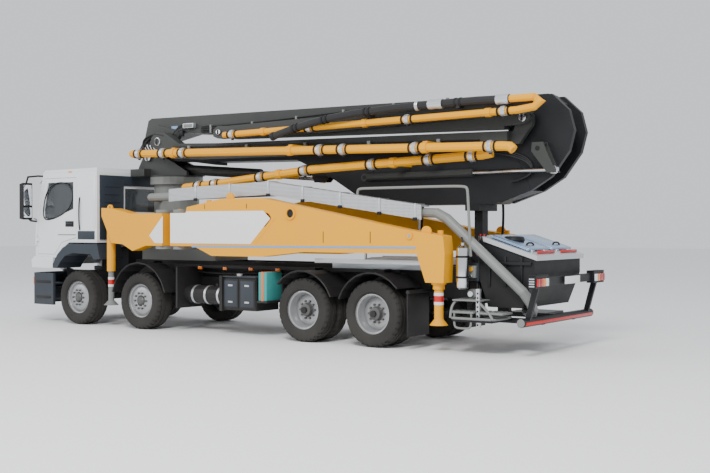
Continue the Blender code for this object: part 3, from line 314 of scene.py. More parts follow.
def block(x, y, z, finish, edge=0.004):
    """A box from its ranges, with broken edges."""
    clear()
    middle = place([(a + b) / 2 for a, b in (x, y, z)])
    size = [abs(b - a) for a, b in (x, y, z)]
    bpy.ops.mesh.primitive_cube_add(size=1, location=middle, scale=size)
    obj = bpy.context.object
    bpy.ops.object.transform_apply(location=True, rotation=True, scale=True)
    return settle(bevelled(obj, min(edge, min(size) * 0.3)), finish)


def plate(outline, y, finish, edge=0.003):
    """A plate across the truck: an (x, z) outline extruded between two y values."""
    clear()
    bpy.ops.mesh.primitive_circle_add(vertices=len(outline), fill_type="NGON")
    obj = bpy.context.object
    for vertex, (px, pz) in zip(obj.data.vertices, outline):
        vertex.co = place((px, min(y), pz))
    bpy.ops.object.mode_set(mode="EDIT")
    bpy.ops.mesh.select_all(action="SELECT")
    bpy.ops.mesh.extrude_region_move(TRANSFORM_OT_translate={"value": (0, abs(y[1] - y[0]), 0)})
    bpy.ops.object.mode_set(mode="OBJECT")
    return settle(bevelled(obj, edge), finish)


def bar(start, end, radius, finish, sides=20, edge=0.0015):
    """A round bar between two points, with broken ends."""
    clear()
    first, last = place(start), place(end)
    line = last - first
    turn = line.to_track_quat("Z", "Y").to_euler()
    bpy.ops.mesh.primitive_cylinder_add(
        vertices=sides, radius=radius, depth=line.length, location=(first + last) / 2, rotation=turn
    )
    obj = bpy.context.object
    bpy.ops.object.transform_apply(location=True, rotation=True, scale=True)
    return settle(bevelled(obj, min(edge, radius * 0.3), 1), finish)


def turned(profile, centre, axis, finish, steps=48):
    """A closed ring of (radius, along) points spun round an axis through the centre."""
    clear()
    middle = place(centre)
    bpy.ops.mesh.primitive_circle_add(vertices=len(profile), fill_type="NOTHING")
    obj = bpy.context.object
    outward = Vector((0, 0, 1)) if tuple(axis) == (0, 1, 0) else Vector(axis).orthogonal().normalized()
    for vertex, (radius, reach) in zip(obj.data.vertices, profile):
        vertex.co = middle + outward * radius + Vector(axis) * reach
    bpy.ops.object.mode_set(mode="EDIT")
    bpy.ops.mesh.select_all(action="SELECT")
    bpy.ops.mesh.spin(steps=steps, angle=math.tau, center=middle, axis=axis)
    bpy.ops.object.mode_set(mode="OBJECT")
    return settle(obj, finish)


def hose(points, radius, finish, sides=5, cyclic=False):
    """A round line through points, smoothed, as a mesh."""
    clear()
    curve = bpy.data.curves.new("line", "CURVE")
    curve.dimensions = "3D"
    curve.bevel_depth = radius
    curve.bevel_resolution = sides
    curve.resolution_u = 6
    curve.use_fill_caps = True
    spline = curve.splines.new("NURBS")
    spline.points.add(len(points) - 1)
    for control, point in zip(spline.points, points):
        control.co = (*place(point), 1.0)
    spline.order_u = min(4, len(points))
    spline.use_endpoint_u = not cyclic
    spline.use_cyclic_u = cyclic
    obj = bpy.data.objects.new("line", curve)
    bpy.context.scene.collection.objects.link(obj)
    obj.select_set(True)
    bpy.context.view_layer.objects.active = obj
    bpy.ops.object.convert(target="MESH")
    return settle(bpy.context.object, finish, 60)


def joined(name, body, slot, pieces, *hidden):
    """One named piece from several, riding on a body. Its slot argument is not used."""
    clear()
    for obj in pieces:
        obj.select_set(True)
    bpy.context.view_layer.objects.active = pieces[0]
    if len(pieces) > 1:
        bpy.ops.object.join()
    obj = bpy.context.object
    obj.name = name
    obj.data.name = name
    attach(obj, body)
    if hidden:
        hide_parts(*hidden)
    return obj


def shifted(obj, move=(0, 0, 0), turn=0.0, about=(0, 0, 0), axis="Y"):
    """A copy of a piece with its own mesh, turned about a line and then moved."""
    twin = obj.copy()
    twin.data = obj.data.copy()
    bpy.context.scene.collection.objects.link(twin)
    centre = place(about)
    spun = Matrix.Translation(centre) @ Matrix.Rotation(turn, 4, axis) @ Matrix.Translation(-centre)
    twin.data.transform(Matrix.Translation(Vector(move)) @ spun)
    return twin


def reflected(obj):
    """A copy on the other side of the truck, with its faces turned the right way out."""
    twin = obj.copy()
    twin.data = obj.data.copy()
    bpy.context.scene.collection.objects.link(twin)
    twin.data.transform(Matrix.Scale(-1, 4, (0, 1, 0)))
    twin.data.flip_normals()
    return twin


# %% [markdown]
# A truck tyre is a closed section: bead, sidewall, shoulder and a tread with three grooves round it.
# Spun round the axle, it is one clean ring. The blocks of the shoulder are made by pushing every
# other face of the shoulder rows inward.

# %% Tyres
def tyre_profile(half):
    """The section of a tyre from bead to bead, as (radius, across), and back along its inside."""
    right = [
        (0.296, half - 0.062), (0.312, half - 0.030), (0.345, half - 0.006), (0.395, half),
        (0.440, half - 0.004),
        (0.476, half - 0.016), (0.496, half - 0.030), (0.509, half - 0.050), (0.5128, half * 0.58),
        (0.5010, half * 0.56),
        (0.5010, half * 0.50), (0.5136, half * 0.48), (0.5136, half * 0.10), (0.5010, half * 0.08),
    ]
    left = [(radius, -reach) for radius, reach in reversed(right)]
    return right + left + [(0.300, -half * 0.5), (0.300, half * 0.5)]


def lugged(obj, centre, half, steps):
    """Presses every other shoulder face inward, which leaves the tread blocks standing."""
    clear()
    bpy.context.view_layer.objects.active = obj
    obj.select_set(True)
    middle = place(centre)
    bpy.ops.object.mode_set(mode="EDIT")
    bpy.ops.mesh.select_all(action="DESELECT")
    bpy.ops.object.mode_set(mode="OBJECT")
    for face in obj.data.polygons:
        away = face.center - middle
        radius = math.hypot(away.x, away.z)
        turn = int((math.atan2(away.z, away.x) / math.tau + 1) * steps + 0.5)
        shoulder = half * 0.60 < abs(away.y) < half - 0.012 and radius > 0.482
        face.select = shoulder and turn % 3 == 0
    bpy.ops.object.mode_set(mode="EDIT")
    bpy.context.tool_settings.mesh_select_mode = (False, False, True)
    bpy.ops.mesh.extrude_region_shrink_fatten(TRANSFORM_OT_shrink_fatten={"value": -0.011})
    bpy.ops.object.mode_set(mode="OBJECT")
    return settle(obj, "tyre", 28)


TREAD_STEPS = 96


def tyre(centre, half):
    ring = turned(tyre_profile(half), centre, (0, 1, 0), "tyre", TREAD_STEPS)
    return lugged(ring, centre, half, TREAD_STEPS)


# %% [markdown]
# A steel wheel is a deep dish. The section runs from the outer flange to the hub and back along the
# inside, and is spun like the tyre. Ten nuts stand on the bolt circle, and openings in the slope of
# the dish let air to the brake. The openings are faces pushed in and painted dark.

# %% Rims, nuts and hubs
RIM_STEPS = 60
NUTS = 10
NUT_CIRCLE = 0.142


def rim(centre, side, outer, dish, hub_radius, hub_reach, finish):
    """A rim whose outer flange stands at `outer` from the centre and whose disc stands at `dish`."""
    section = [
        (0.302, outer), (0.312, outer - 0.004), (0.306, outer - 0.014), (0.286, outer - 0.022),
        (0.268, outer - 0.060),
        (0.256, dish - 0.020), (0.236, dish - 0.006), (0.205, dish + 0.004), (0.150, dish + 0.010),
        (0.118, dish + 0.010),
        (0.100, dish + 0.008), (0.100, dish - 0.02), (0.240, dish - 0.04), (0.274, dish - 0.06),
        (0.290, outer - 0.20),
        (0.302, outer - 0.20), (0.296, outer - 0.05),
    ]
    disc = turned([(r, side * a) for r, a in section], centre, (0, 1, 0), finish, RIM_STEPS)
    clear()
    disc.select_set(True)
    bpy.context.view_layer.objects.active = disc
    bpy.ops.object.mode_set(mode="EDIT")
    bpy.context.tool_settings.mesh_select_mode = (False, False, True)
    bpy.ops.mesh.select_all(action="DESELECT")
    bpy.ops.object.mode_set(mode="OBJECT")
    middle = place(centre)
    disc.data.materials.append(finishes["chassis_black"])
    for face in disc.data.polygons:
        away = face.center - middle
        radius = math.hypot(away.x, away.z)
        turn = int((math.atan2(away.z, away.x) / math.tau + 1) * RIM_STEPS + 0.25) % 6
        front = side * face.normal.y > 0.3
        face.select = front and 0.205 < radius < 0.238 and turn in (0, 1, 2)
    print("openings in the rim", sum(face.select for face in disc.data.polygons) // 3)
    bpy.ops.object.mode_set(mode="EDIT")
    bpy.ops.mesh.extrude_region_shrink_fatten(TRANSFORM_OT_shrink_fatten={"value": -0.020})
    disc.active_material_index = 1
    bpy.ops.object.material_slot_assign()
    bpy.ops.object.mode_set(mode="OBJECT")
    x, y, z = centre
    hub_outline = [
        (0.001, dish + hub_reach), (hub_radius * 0.55, dish + hub_reach),
        (hub_radius * 0.82, dish + hub_reach - 0.012),
        (hub_radius * 0.9, dish + 0.02), (hub_radius, dish + 0.015), (hub_radius, dish - 0.01),
        (0.001, dish - 0.01),
    ]
    hub = turned([(r, side * a) for r, a in hub_outline], centre, (0, 1, 0), "hub_grey", 32)
    nuts = []
    for index in range(NUTS):
        turn = index * math.tau / NUTS
        spot = (x + NUT_CIRCLE * math.cos(turn), z + NUT_CIRCLE * math.sin(turn))
        low, high = y + side * (dish + 0.006), y + side * (dish + 0.040)
        nuts.append(bar((spot[0], low, spot[1]), (spot[0], high, spot[1]), 0.019, "hub_grey", 6))
    return [disc, hub, *nuts]


def wheel_set(number, centre_y, half, dish, hub_radius, hub_reach, body, hidden, finish, reach, second=0.0):
    """Tyre and rim of one end of an axle, on both sides of the truck, replacing the plain CAD wheel."""
    x = AXLES[number - 1]
    centre = (x, centre_y, HUB_Z)
    rubber = [tyre(centre, half)]
    steel = rim(centre, 1, reach, dish, hub_radius, hub_reach, finish)
    if second:
        inner = (x, second, HUB_Z)
        rubber.append(tyre(inner, half))
    for side_name, side in SIDES:
        copied = shifted if side > 0 else reflected
        tyres = [copied(item) for item in rubber]
        rims = [copied(item) for item in steel]
        name = f"{number}_{side_name}"
        joined(f"tyre_{name}", body.format(name), "tyre", tyres, hidden.format(name))
        joined(f"rim_{name}", body.format(name), "aluminium", rims)
    for item in rubber + steel:
        bpy.data.objects.remove(item)


for axle in (1, 2):
    wheel_set(axle, 1.0275, 0.1925, 0.128, 0.085, 0.045, "wheel_{}_body", "wheel_{}", "silver_rim", 0.150)
for axle in (3, 4):
    wheel_set(axle, 1.062, 0.148, -0.030, 0.118, 0.100, "twin_{}_body", "twin_wheel_{}", "silver_rim",
              0.120, 0.745)

# %% [markdown]
# The cab's openings take panes of dark glass a little inside the sheet metal, so that they tilt and
# swing with what holds them. The back wall is a separate panel with ribs, coloured dark slate as
# painted shade: the wall is white paint, and the slate stands for it in shadow.

# %% Cab glass and back wall
CAB_SIDE = 1.15
CAB_BACK = -0.50
joined("windscreen", "cab", "chrome", [
    plate([(1.262, 1.965), (1.272, 1.972), (1.045, 2.715), (1.035, 2.712)], (-1.03, 1.03), "window_glass",
          0.0),
])
joined("back_window", "cab", "chrome", [block((-0.497, -0.487), (-0.47, 0.47), (2.13, 2.62), "window_glass",
                                              0.002)])
SIDE_PANE = [(0.15, 2.74), (0.93, 2.74), (1.07, 2.20), (1.06, 2.02), (0.90, 1.97), (0.15, 2.18)]
for side_name, side in SIDES:
    pane = plate(SIDE_PANE, (side * 1.118, side * 1.126), "window_glass", 0.0)
    joined(f"door_pane_{side_name}", f"door_{side_name}_body", "chrome", [pane])
    seal = hose([(px, side * (CAB_SIDE + 0.002), pz) for px, pz in SIDE_PANE], 0.012, "chassis_black", 3,
                True)
    handle = [
        block((0.16, 0.40), (side * 1.150, side * 1.157), (1.86, 1.97), "chassis_black", 0.003),
        hose([(0.20, side * 1.155, 1.92), (0.24, side * 1.172, 1.925), (0.33, side * 1.172, 1.925),
              (0.37, side * 1.155, 1.92)],
             0.010, "slate", 3),
    ]
    joined(f"door_trim_{side_name}", f"door_{side_name}_body", "chassis_black", [seal, *handle])
# The whole back wall and its ribs are slate: painted shade, a dark blue-grey standing for the wall's white
# paint in shadow
wall = []
for y in ((-1.09, -0.50), (0.50, 1.09)):
    wall.append(block((CAB_BACK - 0.024, CAB_BACK - 0.001), y, (1.62, 2.84), "slate", 0.008))
for z in ((1.62, 2.10), (2.65, 2.84)):
    wall.append(block((CAB_BACK - 0.022, CAB_BACK - 0.001), (-0.51, 0.51), z, "slate", 0.006))
for index in range(7):
    z = 1.72 + index * 0.15
    for y in ((-0.98, -0.60), (0.60, 0.98)):
        wall.append(block((CAB_BACK - 0.034, CAB_BACK - 0.020), y, (z, z + 0.028), "slate", 0.005))
joined("cab_back_wall_painted_shade", "cab", "slate", wall)

# %% [markdown]
# The front of the cab is a dark grille between two lamps, with wipers under the screen. Each slat is
# one thin block, repeated at an even pitch.

# %% Cab front
front = []
for index in range(6):
    z = 1.19 + index * 0.105
    front.append(block((1.355, 1.376), (-0.84, 0.84), (z, z + 0.062),
                       "slate" if index % 2 else "chassis_black", 0.006))
front.append(bar((1.372, -0.10, 1.52), (1.372, 0.10, 1.52), 0.03, "aluminium"))
joined("grille_slats", "cab", "slate", front)
wipers = []
for y in (-0.75, 0.0, 0.72):
    wipers.append(bar((1.292, y, 1.95), (1.270, y + 0.50, 2.02), 0.010, "chassis_black", 8))
    wipers.append(bar((1.292, y, 1.95), (1.280, y + 0.22, 2.02), 0.008, "chassis_black", 8))
joined("wipers", "cab", "chassis_black", wipers)
for side_name, side in SIDES:
    lamp = [
        block((1.405, 1.432), (side * 0.66, side * 1.02), (0.70, 0.90), "lamp_clear", 0.02),
        block((1.300, 1.36), (side * 1.03, side * 1.17), (0.72, 0.88), "amber_lens", 0.02),
        block((1.425, 1.437), (side * 0.70, side * 0.86), (0.46, 0.56), "lamp_clear", 0.01),
    ]
    joined(f"headlamp_{side_name}", "chassis", "aluminium", lamp)
    panes = [
        block((1.226, 1.236), (side * 1.295, side * 1.485), (2.28, 2.68), "mirror_glass", 0.003),
        block((1.226, 1.236), (side * 1.295, side * 1.485), (2.04, 2.24), "mirror_glass", 0.003),
    ]
    joined(f"mirror_pane_{side_name}", "cab", "chrome", panes)
    steps = []
    for index, z in enumerate((0.46, 0.76)):
        steps.append(block((0.80, 1.24), (side * 1.165, side * 1.200), (z, z + 0.05), "chassis_black", 0.01))
        steps.append(block((0.82, 1.22), (side * 1.10, side * 1.17), (z + 0.03, z + 0.045), "aluminium",
                           0.003))
    joined(f"cab_step_{side_name}", "chassis", "slate", steps)
    trim = [
        block((0.10, 0.62), (side * 1.150, side * 1.156), (1.70, 1.712), "chassis_black", 0.002),
        block((-0.44, 0.04), (side * 1.150, side * 1.158), (1.62, 1.78), "slate", 0.004),
        block((-0.46, -0.40), (side * 1.150, side * 1.158), (1.85, 2.80), "white_paint", 0.004),
        hose([(-0.02, side * 1.155, 1.80), (-0.02, side * 1.185, 1.86), (-0.02, side * 1.185, 2.36),
              (-0.02, side * 1.155, 2.42)],
             0.013, "chassis_black", 4),
        block((0.30, 0.38), (side * 1.08, side * 1.098), (2.905, 2.935), "amber_lens", 0.006),
    ]
    joined(f"cab_trim_{side_name}", "cab", "chassis_black", trim)
wheel_centre = (0.60, 0.62, 2.08)
joined("steering_wheel_rim", "cab", "chassis_black", [
    turned([(0.225 + 0.016 * math.cos(a), 0.016 * math.sin(a)) for a in (i * math.tau / 8 for i in range(8))],
           wheel_centre, (-0.79, 0, 0.61), "chassis_black", 40),
])

# %% [markdown]
# Decals are thin films: a plate a millimetre or two proud of the paint. The white panel runs across
# two arms, so it is cut at the gap and each part swings with its own arm. It carries no writing.

# %% Panels and stripes on the outriggers
FILM = (1.2408, 1.2435)
for side_name, side in SIDES:
    skin = (side * FILM[0], side * FILM[1])
    front_film = plate([(-2.0, 1.70), (-2.34, 2.05), (-2.34, 1.565), (-2.14, 1.57)], skin, "white_film", 0.0)
    joined(f"front_panel_{side_name}", f"front_arm_{side_name}_body", "white_paint", [front_film])
    films = [
        plate([(-2.53, 2.098), (-2.90, 2.098), (-2.93, 2.125), (-4.67, 2.12), (-4.82, 1.99), (-4.39, 1.57),
               (-2.53, 1.57)],
              skin, "white_film", 0.0),
        plate([(-3.05, 1.500), (-3.05, 1.535), (-7.62, 1.560), (-7.62, 1.525)], skin, "blue_film", 0.0),
        plate([(-4.45, 1.60), (-4.87, 2.01), (-4.95, 2.01), (-4.53, 1.60)], skin, "yellow_paint", 0.0),
    ]
    joined(f"rear_panel_{side_name}", f"rear_arm_{side_name}_body", "white_paint", films)
    trim = [
        turned([(0.100, 0.0), (0.100, side * 0.030), (0.070, side * 0.030), (0.070, 0.0)],
               (-5.25, side * 1.236, 2.07), (0, 1, 0), "yellow_paint", 32),
        bar((-5.25, side * 1.230, 2.07), (-5.25, side * 1.246, 2.07), 0.070, "dark_grey", 24),
        bar((-7.52, side * 1.235, 1.72), (-7.52, side * 1.262, 1.72), 0.055, "yellow_paint", 20),
        bar((-7.52, side * 1.235, 1.72), (-7.52, side * 1.270, 1.72), 0.028, "chrome", 6),
    ]
    for px in (-3.35, -4.3, -5.9, -6.8):
        heights = (1.60, 1.78) if px < -5 else (2.16, 2.24)
        trim.append(block((px - 0.012, px), (side * 1.238, side * 1.243), heights, "dark_grey", 0.001))
    for px, pz in ((-2.60, 2.118), (-3.30, 2.27), (-7.95, 1.75)):
        trim.append(bar((px, side * 1.07, pz - 0.02), (px, side * 1.07, pz + 0.05), 0.045, "yellow_paint",
                        16))
    joined(f"arm_trim_{side_name}", f"rear_arm_{side_name}_body", "yellow_paint", trim)
    for where, px, radius, low in (("front", -0.84, 0.0552, 0.74), ("rear", -7.94, 0.0702, 0.70)):
        bands = []
        for index, film in enumerate(("white_film", "red_film", "red_film", "white_film")):
            bottom = low + index * 0.045
            ring = [(radius, bottom), (radius + 0.003, bottom), (radius + 0.003, bottom + 0.045),
                    (radius, bottom + 0.045)]
            bands.append(turned(ring, (px, side * 1.10, 0), (0, 0, 1), film, 28))
        joined(f"{where}_leg_bands_{side_name}", f"{where}_jack_{side_name}_body", "white_paint", bands)
        collar = [(radius + 0.002, 1.00), (radius + 0.042, 1.00), (radius + 0.042, 1.06),
                  (radius + 0.002, 1.06)]
        if where == "rear":
            sleeve = [(radius + 0.002, 0.93), (radius + 0.020, 0.93), (radius + 0.020, 1.02),
                      (radius + 0.002, 1.02)]
            joined(f"leg_collar_{side_name}", f"rear_arm_{side_name}_body", "yellow_paint", [
                turned(collar, (px, side * 1.10, 0), (0, 0, 1), "yellow_paint", 32),
                turned(sleeve, (px, side * 1.10, 0), (0, 0, 1), "yellow_paint", 32),
            ])

# %% [markdown]
# Each joint of the boom turns on a thick pin. Its head is a stepped disc with a locking plate, so
# one turned shape and one small block make it, on both faces of the section.

# %% Pin heads of the boom
PINS = (
    ("a", "boom_a", (-0.95, 3.20), (0.262, 0.30), 0.080),
    ("b", "boom_b", (-9.22, 3.45), (-0.262, -0.290), 0.095),
    ("c", "boom_c", (-1.45, 3.46), (0.500, 0.525), 0.080),
    ("d", "boom_d", (-9.00, 3.45), (0.512, 0.530), 0.060),
    ("e", "boom_e", (-3.20, 3.53), (0.722, 0.745), 0.050),
)
for pin_name, body, (px, pz), (low, high), radius in PINS:
    head = turned([(0.001, low), (radius, low), (radius, high - 0.008), (radius * 0.85, high), (0.001, high)],
                  (px, 0, pz), (0, 1, 0), "chrome", 32)
    lock = block((px - 0.016, px + 0.016), (high - 0.004, high + 0.008),
                 (pz - radius * 0.8, pz + radius * 0.8), "dark_grey", 0.003)
    joined(f"pin_head_{pin_name}", body, "chrome", [head, lock])

# %% [markdown]
# The concrete pipe is made of lengths that are coupled with clamps: a silver ring with a dark rubber
# band on each side and a toggle under it. The ring is spun round the pipe's own line.

# %% Pipe couplings
def coupling(x, y, z, slope, radius, ring="aluminium", width=0.075, bands=True):
    """A clamp round a pipe that runs along the truck with a small slope."""
    line = Vector((1, 0, slope)).normalized()
    parts = [turned([(radius, -width / 2), (radius + 0.020, -width / 2), (radius + 0.024, -width / 5),
                     (radius + 0.024, width / 5),
                     (radius + 0.020, width / 2), (radius, width / 2)], (x, y, z), line, ring, 28)]
    if bands:
        for shift in (-0.085, 0.085):
            centre = (x + shift, y, z + slope * shift)
            parts.append(turned([(radius, -0.014), (radius + 0.010, -0.014), (radius + 0.010, 0.014),
                                 (radius, 0.014)], centre, line,
                                "chassis_black", 28))
    parts.append(block((x - 0.02, x + 0.02), (y - 0.018, y + 0.018),
                       (z - radius - 0.045, z - radius - 0.004), "dark_grey", 0.004))
    return parts


def line_height(x, first, last):
    return first[1] + (last[1] - first[1]) * (x - first[0]) / (last[0] - first[0])


PIPE_C_LINE = ((-1.26, 3.21), (-8.90, 3.01))
PIPES = (
    ("a", "boom_a", 0.74, ((-2.60, 2.580), (-3.2, 2.62)), (-2.75, -3.15), 0.070),
    ("a_mid", "boom_a", 0.74, ((-3.2, 2.62), (-5.3, 2.80)), (-4.2, -5.15), 0.070),
    ("a_rear", "boom_a", 0.74, ((-5.3, 2.80), (-8.45, 2.91)), (-6.5, -7.55, -8.3), 0.070),
    ("c", "boom_c", 0.94, PIPE_C_LINE, (-1.43, -2.05, -2.55, -5.62, -6.08, -7.43, -8.71), 0.070),
    ("e", "boom_e", 0.80, ((-3.40, 3.46), (-9.06, 3.53)), (-3.6, -5.3, -7.2, -8.85), 0.055),
)
for pipe_name, body, y, (first, last), spots, radius in PIPES:
    slope = (last[1] - first[1]) / (last[0] - first[0])
    parts = []
    for px in spots:
        parts += coupling(px, y, line_height(px, first, last), slope, radius)
    joined(f"couplings_{pipe_name}", body, "aluminium", parts)

# %% [markdown]
# The end hose lies along the folded sections. Silver ferrules hold it to the pipe and join its two
# lengths, and dark straps tie it down.

# %% End hose ferrules and straps
hose_parts = []
for px, y, pz, slope, width in ((-8.84, 0.80, 3.70, 0.0, 0.20), (-7.72, 0.818, 3.705, 0.0, 0.24),
                                (-7.40, 0.825, 3.70, -0.02, 0.05)):
    line = Vector((1, 0, slope)).normalized()
    ring = [(0.062, -width / 2), (0.074, -width / 2), (0.078, -width / 3), (0.072, 0.0), (0.078, width / 3),
            (0.074, width / 2),
            (0.062, width / 2)]
    hose_parts.append(turned(ring, (px, y, pz), line, "aluminium", 28))
for px, y, pz, tilt in ((-8.1, 0.80, 3.708, 0.0), (-6.5, 0.875, 3.662, -0.07), (-5.7, 0.917, 3.585, -0.14),
                        (-5.1, 0.924, 3.48, -0.2)):
    line = Vector((1, 0, tilt)).normalized()
    for shift in (-0.04, 0.04):
        ring = [(0.062, -0.016), (0.071, -0.016), (0.071, 0.016), (0.062, 0.016)]
        hose_parts.append(turned(ring, (px + shift, y, pz + shift * tilt), line, "chassis_black", 24))
hose_parts.append(turned([(0.001, -0.04), (0.066, -0.04), (0.072, 0.0), (0.066, 0.03), (0.001, 0.03)],
                         (-4.62, 0.93, 3.367),
                         Vector((1, 0, -0.25)).normalized(), "dark_grey", 24))
joined("end_hose_ferrules", "boom_e", "aluminium", hose_parts)

# %% [markdown]
# Hydraulic hoses run along the big section in a bundle, held by small brackets, and loop round the
# joints with slack for the turn. Each hose is a smooth curve with a round section.

# %% Hoses and boxes on the boom
bundle = []
for index in range(4):
    y = 0.262 + 0.012 * (index % 2)
    rise = 0.030 * index
    points = [(-2.35, y, 3.62 + rise), (-3.2, y, 3.60 + rise), (-5.0, y, 3.66 + rise),
              (-7.0, y, 3.74 + rise), (-8.6, y, 3.72 + rise)]
    bundle.append(hose(points, 0.013, "hose_rubber", 3))
for px, pz in ((-2.6, 3.655), (-3.6, 3.655), (-4.6, 3.69), (-5.6, 3.735), (-6.6, 3.775), (-7.6, 3.79)):
    bundle.append(block((px - 0.018, px + 0.018), (0.242, 0.296), (pz - 0.075, pz + 0.075), "light_grey",
                        0.004))
joined("boom_hose_bundle", "boom_b", "hose_rubber", bundle)
box_parts = [
    block((-2.20, -1.93), (0.245, 0.330), (3.695, 3.785), "aluminium", 0.008),
    block((-2.17, -1.96), (0.328, 0.336), (3.710, 3.770), "light_grey", 0.003),
    block((-1.72, -1.56), (0.244, 0.250), (3.61, 3.76), "blue_film", 0.002),
    block((-1.90, -1.80), (0.245, 0.300), (3.55, 3.66), "dark_grey", 0.006),
]
for index in range(3):
    box_parts.append(hose([(-1.93, 0.30, 3.72 + 0.02 * index), (-1.80, 0.34, 3.72 + 0.02 * index),
                           (-1.66, 0.33, 3.62),
                           (-1.60, 0.29, 3.52 - 0.02 * index)], 0.009, "hose_rubber", 3))
joined("boom_valve_box", "boom_b", "aluminium", box_parts)
loops = []
for index in range(4):
    y = 0.370 + 0.040 * index
    reach = 0.035 * index
    loops.append(hose([(-1.62, y, 3.31), (-1.32 + reach, y, 3.25), (-1.16 + reach, y, 3.33),
                       (-1.13 + reach, y, 3.45),
                       (-1.22 + reach, y, 3.58), (-1.42, y, 3.62), (-1.60, y, 3.56)], 0.016, "hose_rubber",
                       3))
loops.append(hose([(-1.26, 0.84, 3.21), (-1.10, 0.76, 3.20), (-1.01, 0.60, 3.22), (-0.99, 0.47, 3.32),
                   (-1.05, 0.43, 3.50),
                   (-1.26, 0.42, 3.62), (-1.45, 0.42, 3.60)], 0.040, "hose_rubber", 5))
joined("front_joint_hoses", "boom_c", "hose_rubber", loops)
rear_loops = []
for index in range(3):
    y = 0.285 + 0.02 * index
    rear_loops.append(hose([(-8.30, y, 3.05 - 0.03 * index), (-8.8, y, 2.98 - 0.03 * index),
                            (-9.15, y, 2.80 - 0.02 * index),
                            (-9.05, y, 2.58), (-8.72, y, 2.52)], 0.012, "hose_rubber", 3))
joined("lower_joint_hoses", "boom_a", "hose_rubber", rear_loops)
lines_c = []
for px in (-2.3, -3.7, -5.0, -6.3, -7.6):
    pz = line_height(px, *PIPE_C_LINE)
    lines_c.append(block((px - 0.03, px + 0.03), (0.508, 0.560), (pz + 0.10, pz + 0.16), "light_grey", 0.005))
for index in range(2):
    y = 0.545 - 0.022 * index
    lines_c.append(hose([(-1.9, y, 3.335), (-5.0, y, 3.25), (-8.3, y, 3.16)], 0.010, "hose_rubber", 3))
joined("section_c_lines", "boom_c", "hose_rubber", lines_c)
edge_strips = []
for px0, px1, z0, z1 in ((-2.4, -8.3, 3.08, 3.03), (-2.4, -5.2, 2.86, 2.73)):
    outline = [(px0, z0), (px1, z1), (px1, z1 + 0.02), (px0, z0 + 0.02)]
    for side in (1, -1):
        edge_strips.append(plate(outline, (side * 0.2605, side * 0.275), "dark_grey", 0.003))
joined("section_a_seams", "boom_a", "dark_grey", edge_strips)

# %% [markdown]
# The slewing ring under the boom is bolted all round. One hexagon bolt is made and copied round the
# circle, with its own mesh each time.

# %% Slewing ring bolts
RING_BOLTS = 28
BOLT_X = TURRET_X + 0.465
bolt = bar((BOLT_X, 0, 2.80), (BOLT_X, 0, 2.825), 0.016, "light_grey", 6)
bolts = [
    shifted(bolt, turn=index * math.tau / RING_BOLTS, about=(TURRET_X, 0, 0), axis="Z")
    for index in range(RING_BOLTS)
]
bpy.data.objects.remove(bolt)
joined("ring_bolts", "turret", "light_grey", bolts)

# %% [markdown]
# The cover over the pump line is bent sheet in lengths. Flat joint straps and a folded lower edge
# show where the lengths meet.

# %% Cover straps
COVER = [(-2.30, 2.53), (-2.95, 2.56), (-4.60, 2.61), (-7.60, 2.18)]


def cover_height(x):
    for (x0, z0), (x1, z1) in zip(COVER, COVER[1:]):
        if x1 <= x <= x0:
            return z0 + (z1 - z0) * (x - x0) / (x1 - x0)
    return COVER[-1][1]


straps = []
for px in (-2.96, -3.76, -4.62, -5.35, -6.10, -6.85, -7.50):
    top = cover_height(px)
    straps.append(block((px - 0.018, px + 0.018), (0.815, 1.062), (top - 0.012, top + 0.010), "aluminium",
                        0.003))
    straps.append(block((px - 0.018, px + 0.018), (1.046, 1.060), (top - 0.20, top), "aluminium", 0.003))
    straps.append(block((px - 0.035, px + 0.035), (1.046, 1.075), (top - 0.25, top - 0.20), "chassis_black",
                        0.004))
joined("cover_straps", "chassis", "aluminium", straps)

# %% [markdown]
# Under the cover the delivery pipe rises in a straight run. Two wide rings couple its lengths, each
# spun round the line of the run and placed by its share of that line.

# %% Delivery pipe couplings
RUN_LOW = Vector((-7.5, 0.92, 2.07))
RUN_HIGH = Vector((-4.9, 0.92, 2.44))
line = (RUN_HIGH - RUN_LOW).normalized()
delivery = []
for share in (0.02, 0.5):
    spot = RUN_LOW.lerp(RUN_HIGH, share)
    delivery.append(turned([(0.075, -0.04), (0.098, -0.04), (0.102, 0.0), (0.098, 0.04), (0.075, 0.04)],
                           tuple(spot), line, "aluminium", 28))
joined("delivery_couplings", "chassis", "aluminium", delivery)

# %% [markdown]
# Light tubes make the handrail over the cover and the folding step at the back. A tube is a curve
# too, with its bends given by close points.

